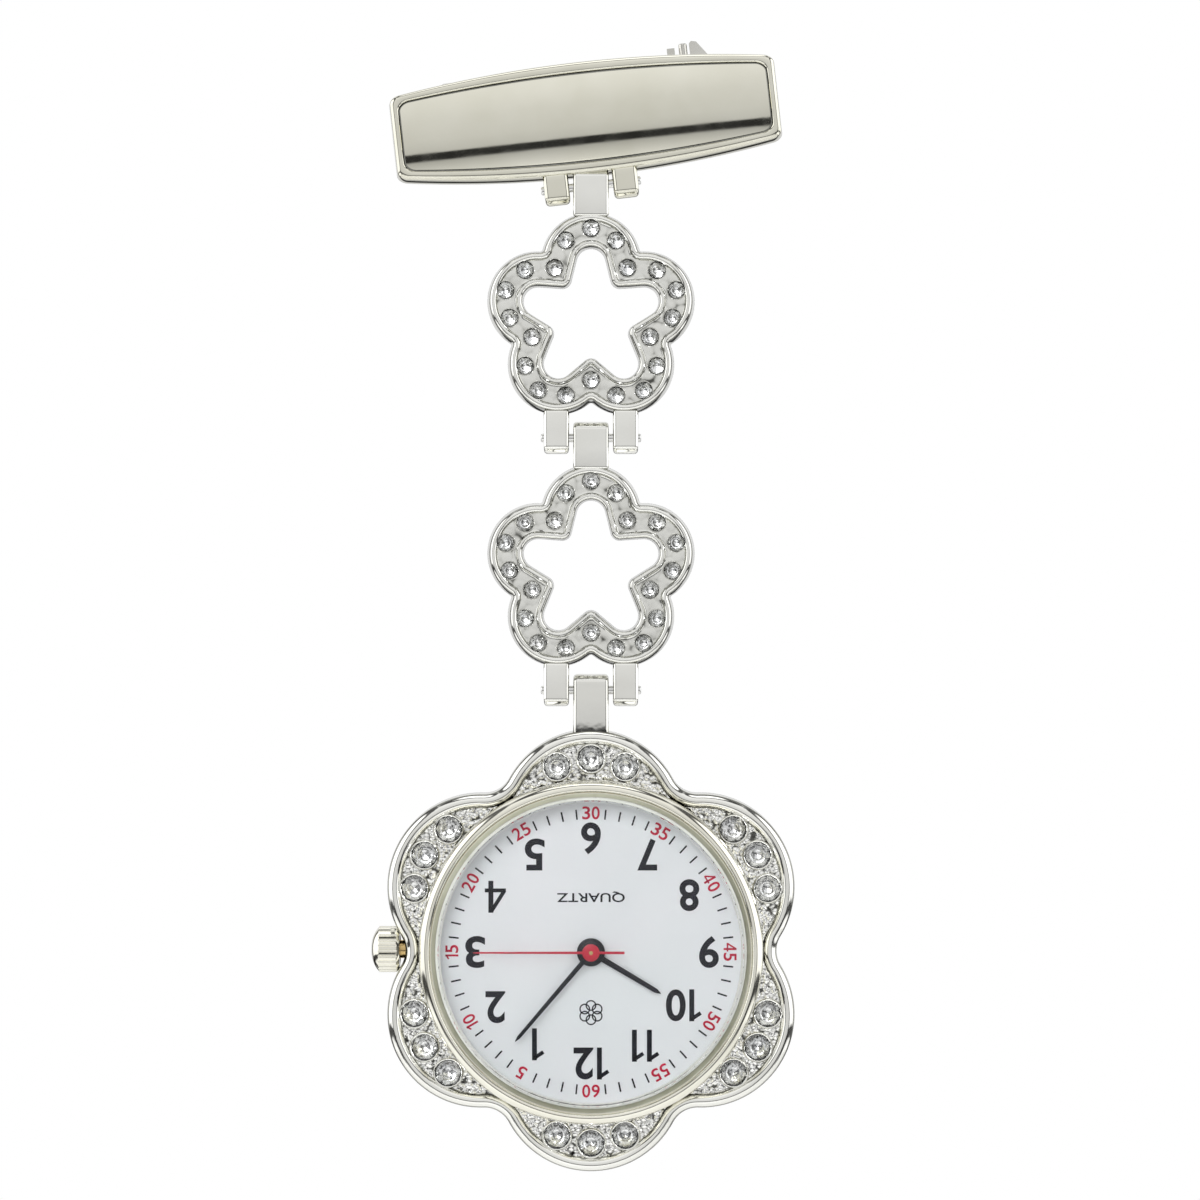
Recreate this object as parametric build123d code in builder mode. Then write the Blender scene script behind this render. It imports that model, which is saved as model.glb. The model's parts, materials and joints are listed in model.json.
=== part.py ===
"""Pin-on fob watch: a brooch bar, two open flower links and a flower-shaped quartz watch.

Millimetres. +Z up, the front faces -Y, +X is to the right of someone facing the front.
The origin is on the brooch needle's axis, straight above the hanging chain.
"""

import os
from math import acos, atan2, cos, hypot, pi, radians, sin

from build123d import *

os.makedirs("parts", exist_ok=True)

# ---------------------------------------------------------------- driving dimensions

# The bar hangs slightly askew on its top hinge; the chain below it is plumb.
bar_tilt = 6.4
bar_length = 36.3
bar_middle_height = 10.8
bar_end_height = 7.9
bar_back = 2.3
bar_rim_front = 5.1
bar_crown = 5.65
bar_centre = (-0.88, -3.35)

# Brooch finding: the needle, its pivot and its safety catch, measured from the needle's axis.
needle_radius = 0.4
needle_tip_radius = 0.34
pivot_along = 9.02
catch_along = -12.58
strip_thickness = 0.4
strip_half_height = 1.3

# Hinges of the chain: round eyes on a pin.
hinge_along = -1.08
hinge_up = -9.65
chain_forward = 3.7
hinge_pin_radius = 0.4
eye_radius = 1.5
eye_half_thickness = 1.2
tongue_width = 3.3
ear_gap = 3.9
ear_width = 2.55
running_clearance = 0.05
tilted_eye_clearance = 0.22

# Flower links.
link_petals = 5
link_petal_distance = 5.25
link_petal_radius = 4.7
link_notch_radius = 0.2
link_back_round = 0.38
link_front_round = 0.25
link_rim = 0.65
link_inner_rim = 0.55
link_front = 1.25
link_back = -1.15
link_channel_depth = 0.5
link_cup_depth = 0.75
star_corner_radius = 3.4
star_lobe_distance = 5.2
star_lobe_radius = 1.35
star_rounding = 0.9
link_tongue_reach = 12.4
link_ear_reach = 11.15
link_stone_radius = 0.82

# Watch case, measured forward of the hinge plane.
case_petals = 6
case_petal_distance = 11.87
case_petal_radius = 8.7
case_notch_radius = 2.6
case_rim = 1.35
case_tongue_reach = 24.26
case_front = 1.6
case_floor = 1.1
case_plate_back = -1.9
case_drum_back = -2.9
case_drum_radius = 15.5
case_bore_radius = 14.35
dial_opening_radius = 13.9
collar_radius = 14.9
collar_top = 3.0
bezel_foot = 1.16
case_stone_radius = 1.24
case_stone_cup = 0.22

# Crown and stem.
stem_forward = -0.75
stem_radius = 0.45
crown_radius = 2.15
crown_inner_face = 17.87
crown_length = 2.65

# Movement.
movement_radius = 8.8
plate_back = 0.2
plate_front = 0.95
dial_back = 1.45
dial_front = 1.85

# ------------------------------------------------------------------------ directions

along_bar = Vector(1, 0, 0).rotate(Axis.Y, -bar_tilt)
up_bar = Vector(0, 0, 1).rotate(Axis.Y, -bar_tilt)
front = Vector(0, -1, 0)
back = Vector(0, 1, 0)


def on_bar(along, up, forward=0.0):
    """A point given along the bar, up it and forward of the needle's axis."""
    return along_bar * along + up_bar * up + front * forward


def bar_front(forward, along=0.0, up=0.0):
    """A plane parallel to the bar's front: x along the bar, y up it."""
    return Plane(on_bar(along, up, forward), x_dir=along_bar, z_dir=front)


def bar_section(along, up=0.0, forward=0.0):
    """A plane across the bar: x to the back, y up, its normal along the bar."""
    return Plane(on_bar(along, up, forward), x_dir=back, z_dir=along_bar)


def bar_level(up, along=0.0):
    """A plane level with the bar: x along it, y to the back, its normal up."""
    return Plane(on_bar(along, up), x_dir=along_bar, z_dir=up_bar)


top_hinge = on_bar(hinge_along, hinge_up, chain_forward)
upper_link_z = top_hinge.Z - link_tongue_reach
middle_hinge_z = upper_link_z - link_ear_reach
lower_link_z = middle_hinge_z - link_tongue_reach
bottom_hinge_z = lower_link_z - link_ear_reach
dial_z = bottom_hinge_z - case_tongue_reach


def chain_front(z, forward=0.0, x=0.0):
    """A plane facing the front at height z: x to the right, y up."""
    return Plane((x, -chain_forward - forward, z), x_dir=(1, 0, 0), z_dir=(0, -1, 0))


def chain_section(z, x=0.0):
    """A plane across the chain at height z: x to the back, y up, its normal to the right."""
    return Plane((x, -chain_forward, z), x_dir=(0, 1, 0), z_dir=(1, 0, 0))


def watch_front(forward):
    """A plane facing the front, centred on the dial."""
    return chain_front(dial_z, forward)


def stem_section(x):
    """A plane across the stem, its normal pointing out to the crown."""
    return Plane(
        (-x, -chain_forward - stem_forward, dial_z), x_dir=(0, 1, 0), z_dir=(-1, 0, 0)
    )


def save(piece, name):
    """Label one finished piece and write its STEP file."""
    piece.part.label = name
    export_step(piece.part, f"parts/{name}.step")


# ---------------------------------------------------------------------- shared shapes


def barrel_outline(length, middle_height, end_height, corner):
    """A barrel seen from the side: straight ends, gently arched top and bottom."""
    half = length / 2
    top = end_height / 2
    crown = middle_height / 2
    with BuildSketch(mode=Mode.PRIVATE) as outline:
        with BuildLine():
            upper = ThreePointArc((-half, top), (0, crown), (half, top))
            right = Line(upper @ 1, (half, -top))
            lower = ThreePointArc(right @ 1, (0, -crown), (-half, -top))
            Line(lower @ 1, upper @ 0)
        make_face()
        fillet(outline.vertices(), corner)
    return outline.sketch


def flower_outline(petals, distance, radius, notch):
    """Round petals on a circle, the first one upright, with the notches between rounded."""
    with BuildSketch(mode=Mode.PRIVATE) as outline:
        Circle(distance)
        with PolarLocations(distance, petals, start_angle=90):
            Circle(radius)
        fillet(outline.vertices().group_by(SortBy.DISTANCE)[0], notch)
    return outline.sketch


def star_opening(corner_radius, lobe_distance, lobe_radius, rounding):
    """The hole of a flower link: lobes narrowing to round ends, one under each petal."""
    half_step = pi / link_petals
    corner = (corner_radius * sin(half_step), corner_radius * cos(half_step))
    dx, dy = corner[0], corner[1] - lobe_distance
    touch = atan2(dy, dx) + acos(lobe_radius / hypot(dx, dy))
    side = (lobe_radius * cos(touch), lobe_distance + lobe_radius * sin(touch))
    with BuildSketch(mode=Mode.PRIVATE) as lobe:
        Polygon(
            (0, 0), corner, side, (-side[0], side[1]), (-corner[0], corner[1]), align=None
        )
        with Locations((0, lobe_distance)):
            Circle(lobe_radius)
    with BuildSketch(mode=Mode.PRIVATE) as opening:
        with PolarLocations(0, link_petals):
            add(lobe.sketch)
        fillet(opening.vertices().group_by(SortBy.DISTANCE)[0], rounding)
    return opening.sketch


def hinge_profile(reach):
    """A hinge eye seen along its pin: a flat-sided round end with a root of length reach."""
    with BuildSketch(mode=Mode.PRIVATE) as profile:
        Circle(eye_radius)
        Rectangle(2 * eye_half_thickness, 2 * eye_radius, mode=Mode.INTERSECT)
        with Locations((0, reach / 2)):
            Rectangle(2 * eye_half_thickness, abs(reach))
    return profile.sketch


def stone_places(petals, rings):
    """Stone centres: each ring is (radius, angle from the petal's middle)."""
    places = []
    for petal in range(petals):
        for radius, aside in rings:
            angle = radians(90 + 360 / petals * petal + aside)
            places.append((radius * cos(angle), radius * sin(angle)))
    return places


def stone(girdle_radius):
    """A cut stone, its girdle on the XY plane: flat table, sloping crown, deep pavilion."""
    with BuildPart(mode=Mode.PRIVATE) as cut:
        with BuildSketch(Plane.XZ):
            with BuildLine():
                Polyline(
                    (0, -0.80 * girdle_radius),
                    (0.97 * girdle_radius, -0.08 * girdle_radius),
                    (0.97 * girdle_radius, 0),
                    (0.56 * girdle_radius, 0.34 * girdle_radius),
                    (0, 0.34 * girdle_radius),
                    close=True,
                )
            make_face()
        revolve(axis=Axis.Z)
    return cut.part


def wheel_outline(teeth, pitch_radius):
    """A toothed wheel: straight-sided teeth that stop just short of the pitch circle."""
    tip = pitch_radius - 0.02
    root = pitch_radius - 0.13
    step = 2 * pi / teeth
    corners = []
    for tooth in range(teeth):
        for radius, turn in ((root, -0.3), (tip, -0.14), (tip, 0.14), (root, 0.3)):
            angle = (tooth + turn) * step
            corners.append((radius * cos(angle), radius * sin(angle)))
    with BuildSketch(mode=Mode.PRIVATE) as outline:
        Polygon(*corners, align=None)
    return outline.sketch


# ------------------------------------------------------------------------- brooch bar

top_eye_root = bar_middle_height / 2 - (bar_centre[1] - hinge_up) + 0.4
groove_radius = 1.95

with BuildPart() as brooch_bar:
    with BuildSketch(bar_front(bar_back, *bar_centre)):
        add(barrel_outline(bar_length, bar_middle_height, bar_end_height, 0.9))
    extrude(amount=bar_rim_front - bar_back)
    fillet(brooch_bar.faces().sort_by(Axis.Y)[0].edges(), 0.45)
    fillet(brooch_bar.faces().sort_by(Axis.Y)[-1].edges(), 0.35)
    with BuildSketch(bar_front(bar_rim_front, *bar_centre)):
        add(barrel_outline(bar_length - 1.9, bar_middle_height - 2.5, bar_end_height - 2.3, 1.1))
    extrude(amount=-0.6, mode=Mode.SUBTRACT)

# The polished panel is a shallow barrel, crowned both across and along the bar.
panel_radius = 10.8
panel_end_drop = 0.42
panel_clearance = 0.12
with BuildPart() as panel:
    with BuildSketch(bar_front(bar_rim_front - 0.65, *bar_centre)):
        add(
            barrel_outline(
                bar_length - 1.9 - panel_clearance,
                bar_middle_height - 2.5 - panel_clearance,
                bar_end_height - 2.3 - panel_clearance,
                1.05,
            )
        )
    extrude(amount=2)
    with BuildSketch(bar_level(bar_centre[1], bar_centre[0])):
        with BuildLine():
            base = Line(
                (-bar_length / 2, panel_radius - bar_crown), (bar_length / 2, panel_radius - bar_crown)
            )
            right_end = Line(base @ 1, (bar_length / 2, panel_end_drop - bar_crown))
            crest = ThreePointArc(
                right_end @ 1, (0, -bar_crown), (-bar_length / 2, panel_end_drop - bar_crown)
            )
            Line(crest @ 1, base @ 0)
        make_face()
    revolve(
        axis=Axis(on_bar(bar_centre[0], bar_centre[1], bar_crown - panel_radius), along_bar),
        mode=Mode.INTERSECT,
    )

with BuildPart() as top_ears:
    for side in (-1, 1):
        middle = hinge_along + side * (ear_gap + ear_width) / 2
        with BuildSketch(bar_section(middle, hinge_up, chain_forward)):
            add(hinge_profile(top_eye_root))
        extrude(amount=ear_width / 2, both=True)

with BuildPart() as brooch_bar_whole:
    add(brooch_bar.part)
    add(panel.part)
    with BuildSketch(bar_section(hinge_along, hinge_up, chain_forward)):
        Circle(groove_radius)
    extrude(amount=ear_gap / 2, both=True, mode=Mode.SUBTRACT)
    add(top_ears.part)
    with BuildSketch(bar_section(hinge_along, hinge_up, chain_forward)):
        Circle(hinge_pin_radius)
    extrude(amount=ear_gap / 2 + ear_width, both=True, mode=Mode.SUBTRACT)
save(brooch_bar_whole, "brooch_bar")


def hinge_pin(plane, name):
    """A hinge pin pressed through two ears, with domed ends standing just proud of them."""
    half = ear_gap / 2 + ear_width + 0.18
    with BuildPart() as pin:
        with BuildSketch(plane):
            Circle(hinge_pin_radius)
        extrude(amount=half, both=True)
        fillet(pin.edges().filter_by(GeomType.CIRCLE), 0.16)
    save(pin, name)


hinge_pin(bar_section(hinge_along, hinge_up, chain_forward), "hinge_pin_top")

# ---------------------------------------------------------------------- brooch finding

strip_left = catch_along - 2.4
strip_right = pivot_along + 2.1
strip_back = bar_back - strip_thickness
cheek_inner = 0.5
cheek_outer = 1.0
cheek_radius = 1.15
rivet_radius = 0.4
rivet_top = 3.15
tab_width = 0.72
tab_thickness = 0.5

with BuildPart() as pin_back:
    with BuildSketch(bar_front(strip_back, (strip_left + strip_right) / 2)):
        RectangleRounded(strip_right - strip_left, 2 * strip_half_height, 0.6)
    extrude(amount=strip_thickness)
    for level in (cheek_inner, -cheek_outer):
        with BuildSketch(bar_level(level, pivot_along)):
            Circle(cheek_radius)
            with Locations((0, -strip_back / 2)):
                Rectangle(2 * cheek_radius, strip_back)
        extrude(amount=cheek_outer - cheek_inner)
    # Two crimp tabs stand up from the upper cheek, one each side of the rivet's end.
    with BuildSketch(bar_front(-tab_thickness / 2, pivot_along)):
        with BuildLine():
            Polyline(
                (-1.52, cheek_inner),
                (-1.52 + 0.45, cheek_inner),
                (-1.52 + tab_width, cheek_outer),
                (-1.52 + tab_width, 2.8),
                (-1.52, 2.8),
                close=True,
            )
        make_face()
    extrude(amount=tab_thickness)
    with BuildSketch(bar_front(-tab_thickness / 2, pivot_along)):
        with BuildLine():
            Polyline(
                (0.62, cheek_inner),
                (0.62, 3.1),
                (0.82, 3.3),
                (1.3, 3.2),
                (2.4, 1.7),
                (2.1, 1.3),
                (1.4, 1.0),
                (1.0, cheek_inner),
                close=True,
            )
        make_face()
    extrude(amount=tab_thickness)
    with BuildSketch(bar_level(-cheek_outer, pivot_along)):
        Circle(rivet_radius)
    extrude(amount=2 * cheek_outer, mode=Mode.SUBTRACT)
save(pin_back, "pin_back_strip")

with BuildPart() as rivet:
    with BuildSketch(bar_level(-cheek_outer, pivot_along)):
        Circle(rivet_radius)
    extrude(amount=cheek_outer + rivet_top)
    with BuildSketch(bar_level(-cheek_outer - 0.25, pivot_along)):
        Circle(rivet_radius + 0.25)
    extrude(amount=0.25)
    fillet(rivet.edges().sort_by(Axis.Z)[-1], 0.15)
save(rivet, "pin_rivet")

needle_root_half_width = 0.6
needle_root_end = 7.2
needle_eye_radius = 1.0
needle_eye_half = 0.4
needle_taper_start = -10.35
needle_point_start = -14.2
needle_tip = -16.0
with BuildPart() as brooch_pin:
    with BuildSketch(bar_level(-needle_eye_half, pivot_along)):
        Circle(needle_eye_radius)
        with Locations(((needle_root_end - pivot_along) / 2, 0)):
            Rectangle(pivot_along - needle_root_end, 2 * needle_root_half_width)
    extrude(amount=2 * needle_eye_half)
    with BuildSketch(bar_level(0, 0)):
        with BuildLine():
            Polyline(
                (needle_root_end + needle_eye_half, 0),
                (needle_root_end + needle_eye_half, needle_radius),
                (needle_taper_start, needle_radius),
                (needle_taper_start - 0.3, needle_tip_radius),
                (needle_point_start, needle_tip_radius - 0.02),
                (needle_tip, 0.04),
                (needle_tip, 0),
                close=True,
            )
        make_face()
    revolve(axis=Axis(Vector(0, 0, 0), along_bar))
    with BuildSketch(bar_level(-needle_eye_half, pivot_along)):
        Circle(rivet_radius + running_clearance)
    extrude(amount=2 * needle_eye_half, mode=Mode.SUBTRACT)
save(brooch_pin, "brooch_pin")

catch_radius = 1.9
catch_half_length = 1.5
catch_bore = 1.25
catch_mouth = 1.1
with BuildPart() as catch_housing:
    with BuildSketch(bar_section(catch_along)):
        Circle(catch_radius)
        with Locations((-strip_back / 2, 0)):
            Rectangle(strip_back, 2 * strip_half_height)
    extrude(amount=catch_half_length, both=True)
    fillet(catch_housing.edges().filter_by(GeomType.CIRCLE), 0.35)
    with BuildSketch(bar_section(catch_along)):
        Circle(catch_bore)
        with Locations((catch_radius / 2, 0)):
            Rectangle(catch_radius, catch_mouth)
    extrude(amount=catch_half_length, both=True, mode=Mode.SUBTRACT)
save(catch_housing, "catch_housing")

lock_radius = catch_bore - running_clearance
lock_bore = 0.5
lock_slot = 1.0
flange_radius = 1.65
flange_thickness = 0.55
tab_reach = 2.7
with BuildPart() as catch_lock:
    flange_face = catch_along - catch_half_length - running_clearance
    with BuildSketch(bar_section(flange_face - flange_thickness)):
        Circle(flange_radius)
        with Locations((0, -tab_reach / 2)):
            Rectangle(1.0, tab_reach)
    extrude(amount=flange_thickness)
    with BuildSketch(bar_section(flange_face)):
        Circle(lock_radius)
    extrude(amount=2 * catch_half_length + 2 * running_clearance)
    with BuildSketch(bar_section(flange_face - flange_thickness)):
        Circle(lock_bore)
        with Locations((flange_radius / 2, 0)):
            Rectangle(flange_radius, lock_slot)
    extrude(amount=2 * catch_half_length + flange_thickness + 0.2, mode=Mode.SUBTRACT)
save(catch_lock, "catch_lock")

# ------------------------------------------------------------------------ flower links

link_rings = ((8.36, 0), (7.59, 18), (7.59, -18), (5.78, 36))
star = star_opening(star_corner_radius, star_lobe_distance, star_lobe_radius, star_rounding)


def link_channel():
    """The recess between the two rims, where the stones sit."""
    with BuildSketch(mode=Mode.PRIVATE) as grown_star:
        add(star)
        offset(amount=link_inner_rim)
    with BuildSketch(mode=Mode.PRIVATE) as channel:
        add(
            flower_outline(
                link_petals,
                link_petal_distance,
                link_petal_radius - link_rim,
                link_notch_radius + link_rim,
            )
        )
        add(grown_star.sketch, mode=Mode.SUBTRACT)
    return channel.sketch


def link_frame(z, eye_clearance, name):
    """One cast link: a flower with a star opening, one tongue above and two ears below."""
    floor = link_front - link_channel_depth
    with BuildPart() as flower:
        with BuildSketch(chain_front(z, link_back)):
            add(
                flower_outline(
                    link_petals, link_petal_distance, link_petal_radius, link_notch_radius
                )
            )
        extrude(amount=link_front - link_back)
        fillet(flower.faces().sort_by(Axis.Y)[0].edges(), link_back_round)
        fillet(flower.faces().sort_by(Axis.Y)[-1].edges(), link_front_round)
        with BuildSketch(chain_front(z, link_back)):
            add(star)
        extrude(amount=link_front - link_back, mode=Mode.SUBTRACT)
        with BuildSketch(chain_front(z, link_front)):
            add(link_channel())
        extrude(amount=-link_channel_depth, mode=Mode.SUBTRACT)
        with BuildSketch(chain_front(z, floor)):
            with Locations(*stone_places(link_petals, link_rings)):
                Circle(link_stone_radius)
        extrude(amount=-link_cup_depth, mode=Mode.SUBTRACT)
    with BuildPart() as frame:
        add(flower.part)
        with BuildSketch(chain_section(z + link_tongue_reach)):
            add(hinge_profile(link_petal_distance + link_petal_radius - link_rim - link_tongue_reach))
        extrude(amount=tongue_width / 2, both=True)
        for side in (-1, 1):
            ear_middle = side * (ear_gap + ear_width) / 2
            with BuildSketch(chain_section(z - link_ear_reach, ear_middle)):
                add(hinge_profile(link_ear_reach - 8.4))
            extrude(amount=ear_width / 2, both=True)
        with BuildSketch(chain_section(z + link_tongue_reach)):
            Circle(hinge_pin_radius + eye_clearance)
        extrude(amount=tongue_width / 2, both=True, mode=Mode.SUBTRACT)
        with BuildSketch(chain_section(z - link_ear_reach)):
            Circle(hinge_pin_radius)
        extrude(amount=ear_gap / 2 + ear_width, both=True, mode=Mode.SUBTRACT)
    save(frame, name)


def set_stones(z, forward, girdle_radius, places, name):
    """All the stones of one link or of the case, as separate solids in one node."""
    cut = stone(girdle_radius)
    plane = chain_front(z, forward)
    stones = [plane.location * Pos(x, y, 0) * cut for x, y in places]
    group = Compound(children=stones)
    group.label = name
    export_step(group, f"parts/{name}.step")


link_stone_places = stone_places(link_petals, link_rings)
link_stone_girdle = link_front - link_channel_depth + 0.08
for z, eye_clearance, level in (
    (upper_link_z, tilted_eye_clearance, "upper"),
    (lower_link_z, running_clearance, "lower"),
):
    link_frame(z, eye_clearance, f"{level}_link_frame")
    set_stones(z, link_stone_girdle, link_stone_radius, link_stone_places, f"{level}_link_stones")
hinge_pin(chain_section(middle_hinge_z), "hinge_pin_middle")
hinge_pin(chain_section(bottom_hinge_z), "hinge_pin_bottom")

# ------------------------------------------------------------------------- watch case

case_rings = ((17.9, 0), (17.45, 10.5), (17.45, -10.5))
case_stone_places = stone_places(case_petals, case_rings)
plate_outline = flower_outline(
    case_petals, case_petal_distance, case_petal_radius, case_notch_radius
)
recess_outline = flower_outline(
    case_petals, case_petal_distance, case_petal_radius - case_rim, case_notch_radius + case_rim
)
bezel_outer_radius = 16.0
crown_relief = 0.12
tube_radius = 0.85

with BuildPart() as flower_plate:
    with BuildSketch(watch_front(case_plate_back)):
        add(plate_outline)
    extrude(amount=case_front - case_plate_back)
    fillet(flower_plate.faces().sort_by(Axis.Y)[0].edges(), 0.6)
    fillet(flower_plate.faces().sort_by(Axis.Y)[-1].edges(), 0.7)
    with BuildSketch(watch_front(case_front)):
        add(recess_outline)
    extrude(amount=case_floor - case_front, mode=Mode.SUBTRACT)
    fillet(flower_plate.faces().sort_by(Axis.Y)[0].inner_wires()[0].edges(), 0.3)

with BuildPart() as case_flower:
    add(flower_plate.part)
    # Round drum behind the petals, and the collar that carries the bezel in front.
    with BuildSketch(watch_front(case_drum_back)):
        Circle(case_drum_radius)
    extrude(amount=bezel_foot - case_drum_back)
    # A raised cup round each stone.
    with BuildSketch(watch_front(case_floor)):
        with Locations(*case_stone_places):
            Circle(case_stone_radius + case_stone_cup)
    extrude(amount=0.3)
    # The bezel's round seat cuts into the rim and the cups where they come close.
    with BuildSketch(watch_front(bezel_foot)):
        Circle(bezel_outer_radius + 0.05)
    extrude(amount=1, mode=Mode.SUBTRACT)
    with BuildSketch(watch_front(case_drum_back)):
        Circle(collar_radius)
    extrude(amount=collar_top - case_drum_back)
    with BuildSketch(chain_section(bottom_hinge_z)):
        add(hinge_profile(case_petal_distance + case_petal_radius - 1.5 - case_tongue_reach))
    extrude(amount=tongue_width / 2, both=True)
    with BuildSketch(watch_front(case_drum_back)):
        Circle(case_bore_radius)
    extrude(amount=dial_front + 0.02 - case_drum_back, mode=Mode.SUBTRACT)
    with BuildSketch(watch_front(dial_back)):
        Circle(dial_opening_radius)
    extrude(amount=collar_top - dial_back, mode=Mode.SUBTRACT)
    with BuildSketch(watch_front(case_floor + 0.3)):
        with Locations(*case_stone_places):
            Circle(case_stone_radius)
    extrude(amount=-1.3, mode=Mode.SUBTRACT)
    with BuildSketch(chain_section(bottom_hinge_z)):
        Circle(hinge_pin_radius + running_clearance)
    extrude(amount=tongue_width / 2, both=True, mode=Mode.SUBTRACT)
    with BuildSketch(stem_section(case_bore_radius - 1)):
        Circle(tube_radius)
    extrude(amount=5, mode=Mode.SUBTRACT)
    # Room for the crown between the two petals beside it.
    with BuildSketch(stem_section(crown_inner_face - crown_relief)):
        Circle(crown_radius + crown_relief)
    extrude(amount=4, mode=Mode.SUBTRACT)
save(case_flower, "case_flower")

case_stone_girdle = case_floor + 0.26
set_stones(dial_z, case_stone_girdle, case_stone_radius, case_stone_places, "case_stones")


def turned(profile):
    """Revolve a closed profile of (radius, forward) points about the dial's axis."""
    half_plane = Plane((0, -chain_forward, dial_z), x_dir=(1, 0, 0), z_dir=(0, 0, 1))
    with BuildPart(mode=Mode.PRIVATE) as ring:
        with BuildSketch(half_plane):
            Polygon(*[(radius, -forward) for radius, forward in profile], align=None)
        revolve(axis=Axis((0, 0, dial_z), (0, 1, 0)))
    return ring.part


crystal_radius = 14.15
crystal_top = 4.1
bezel_top = 3.62
bezel_bore = 14.4
seat = collar_top + 0.02

# The bezel's skirt sweeps up in an S from the petals to a narrow flat top.
with BuildPart() as bezel:
    with BuildSketch(Plane((0, -chain_forward, dial_z), x_dir=(1, 0, 0), z_dir=(0, 0, 1))):
        with BuildLine():
            foot = Line((collar_radius + 0.02, -bezel_foot - 0.02), (bezel_outer_radius, -bezel_foot - 0.02))
            lip = Line(foot @ 1, (bezel_outer_radius, -bezel_foot - 0.3))
            skirt = ThreePointArc(lip @ 1, (15.32, -2.2), (15.1, -bezel_top + 0.12))
            shoulder = ThreePointArc(skirt @ 1, (15.06, -bezel_top + 0.03), (14.95, -bezel_top))
            top = Line(shoulder @ 1, (bezel_bore + 0.12, -bezel_top))
            inner = Line(top @ 1, (bezel_bore, -bezel_top + 0.12))
            wall = Line(inner @ 1, (bezel_bore, -seat))
            ledge = Line(wall @ 1, (collar_radius + 0.02, -seat))
            Line(ledge @ 1, foot @ 0)
        make_face()
    revolve(axis=Axis((0, 0, dial_z), (0, 1, 0)))
save(bezel, "bezel_ring")

with BuildPart() as crystal:
    add(
        turned(
            [
                (0, seat),
                (crystal_radius, seat),
                (crystal_radius, crystal_top - 0.5),
                (crystal_radius - 0.75, crystal_top),
                (0, crystal_top),
            ]
        )
    )
save(crystal, "crystal")

with BuildPart() as crystal_gasket:
    add(
        turned(
            [
                (crystal_radius + 0.02, seat),
                (bezel_bore - 0.02, seat),
                (bezel_bore - 0.02, bezel_top - 0.2),
                (crystal_radius + 0.02, bezel_top - 0.2),
            ]
        )
    )
save(crystal_gasket, "crystal_gasket")

back_outer = -3.6
back_flange = case_drum_back - 0.15
with BuildPart() as case_back:
    add(
        turned(
            [
                (0, back_outer),
                (14.2, back_outer),
                (15.3, back_flange - 0.15),
                (15.3, back_flange),
                (case_bore_radius - 0.05, back_flange),
                (case_bore_radius - 0.05, -2.45),
                (case_bore_radius - 0.65, -2.45),
                (case_bore_radius - 0.65, -2.85),
                (0, -2.85),
            ]
        )
    )
    # Case-knife notch in the rim, for snapping the back off.
    with BuildSketch(watch_front(back_flange - 0.3)):
        with Locations((0, 15.3)):
            Rectangle(3.0, 0.8)
    extrude(amount=0.3, mode=Mode.SUBTRACT)
save(case_back, "case_back")

with BuildPart() as back_gasket:
    add(
        turned(
            [
                (14.5, back_flange + 0.02),
                (15.1, back_flange + 0.02),
                (15.1, case_drum_back - 0.02),
                (14.5, case_drum_back - 0.02),
            ]
        )
    )
save(back_gasket, "back_gasket")

# ---------------------------------------------------------------------- crown and stem

with BuildPart() as crown_tube:
    with BuildSketch(stem_section(case_bore_radius + 0.1)):
        Circle(tube_radius)
        Circle(stem_radius + running_clearance, mode=Mode.SUBTRACT)
    extrude(amount=crown_inner_face + 0.35 - case_bore_radius)
save(crown_tube, "crown_tube")

crown_recess_radius = 1.3
crown_recess_depth = 1.0
with BuildPart() as crown:
    with BuildSketch(stem_section(crown_inner_face)):
        Circle(crown_radius)
        with PolarLocations(crown_radius + 0.06, 26):
            Circle(0.15, mode=Mode.SUBTRACT)
    extrude(amount=crown_length)
    crown_axis_plane = Plane(
        (0, -chain_forward - stem_forward, dial_z), x_dir=(-1, 0, 0), z_dir=(0, 0, 1)
    )
    with BuildSketch(crown_axis_plane):
        with BuildLine():
            inner_end = crown_inner_face
            outer_end = crown_inner_face + crown_length
            stem_line = Line((outer_end, 0), (inner_end, 0))
            inner_face = Line(stem_line @ 1, (inner_end, crown_radius - 0.3))
            inner_bevel = Line(inner_face @ 1, (inner_end + 0.3, crown_radius))
            rim = Line(inner_bevel @ 1, (outer_end - 0.75, crown_radius))
            dome = ThreePointArc(rim @ 1, (outer_end - 0.2, crown_radius * 0.62), (outer_end, 0))
        make_face()
    revolve(
        axis=Axis((0, -chain_forward - stem_forward, dial_z), (-1, 0, 0)), mode=Mode.INTERSECT
    )
    with BuildSketch(stem_section(crown_inner_face)):
        Circle(crown_recess_radius)
    extrude(amount=crown_recess_depth, mode=Mode.SUBTRACT)
    with BuildSketch(stem_section(crown_inner_face)):
        Circle(stem_radius)
    extrude(amount=crown_recess_depth + 0.9, mode=Mode.SUBTRACT)
save(crown, "crown")

with BuildPart() as crown_gasket:
    with BuildSketch(stem_section(crown_inner_face + 0.15)):
        Circle(crown_recess_radius - 0.02)
        Circle(tube_radius + 0.04, mode=Mode.SUBTRACT)
    extrude(amount=0.6)
save(crown_gasket, "crown_gasket")

groove_place = 9.2
groove_width = 0.36
groove_radius_stem = 0.28
stem_inner_end = 6.9
with BuildPart() as stem:
    with BuildSketch(stem_section(stem_inner_end)):
        Circle(stem_radius)
    extrude(amount=crown_inner_face + crown_recess_depth + 0.85 - stem_inner_end)
    with BuildSketch(stem_section(groove_place)):
        Circle(stem_radius)
        Circle(groove_radius_stem, mode=Mode.SUBTRACT)
    extrude(amount=groove_width, mode=Mode.SUBTRACT)
save(stem, "winding_stem")

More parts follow.
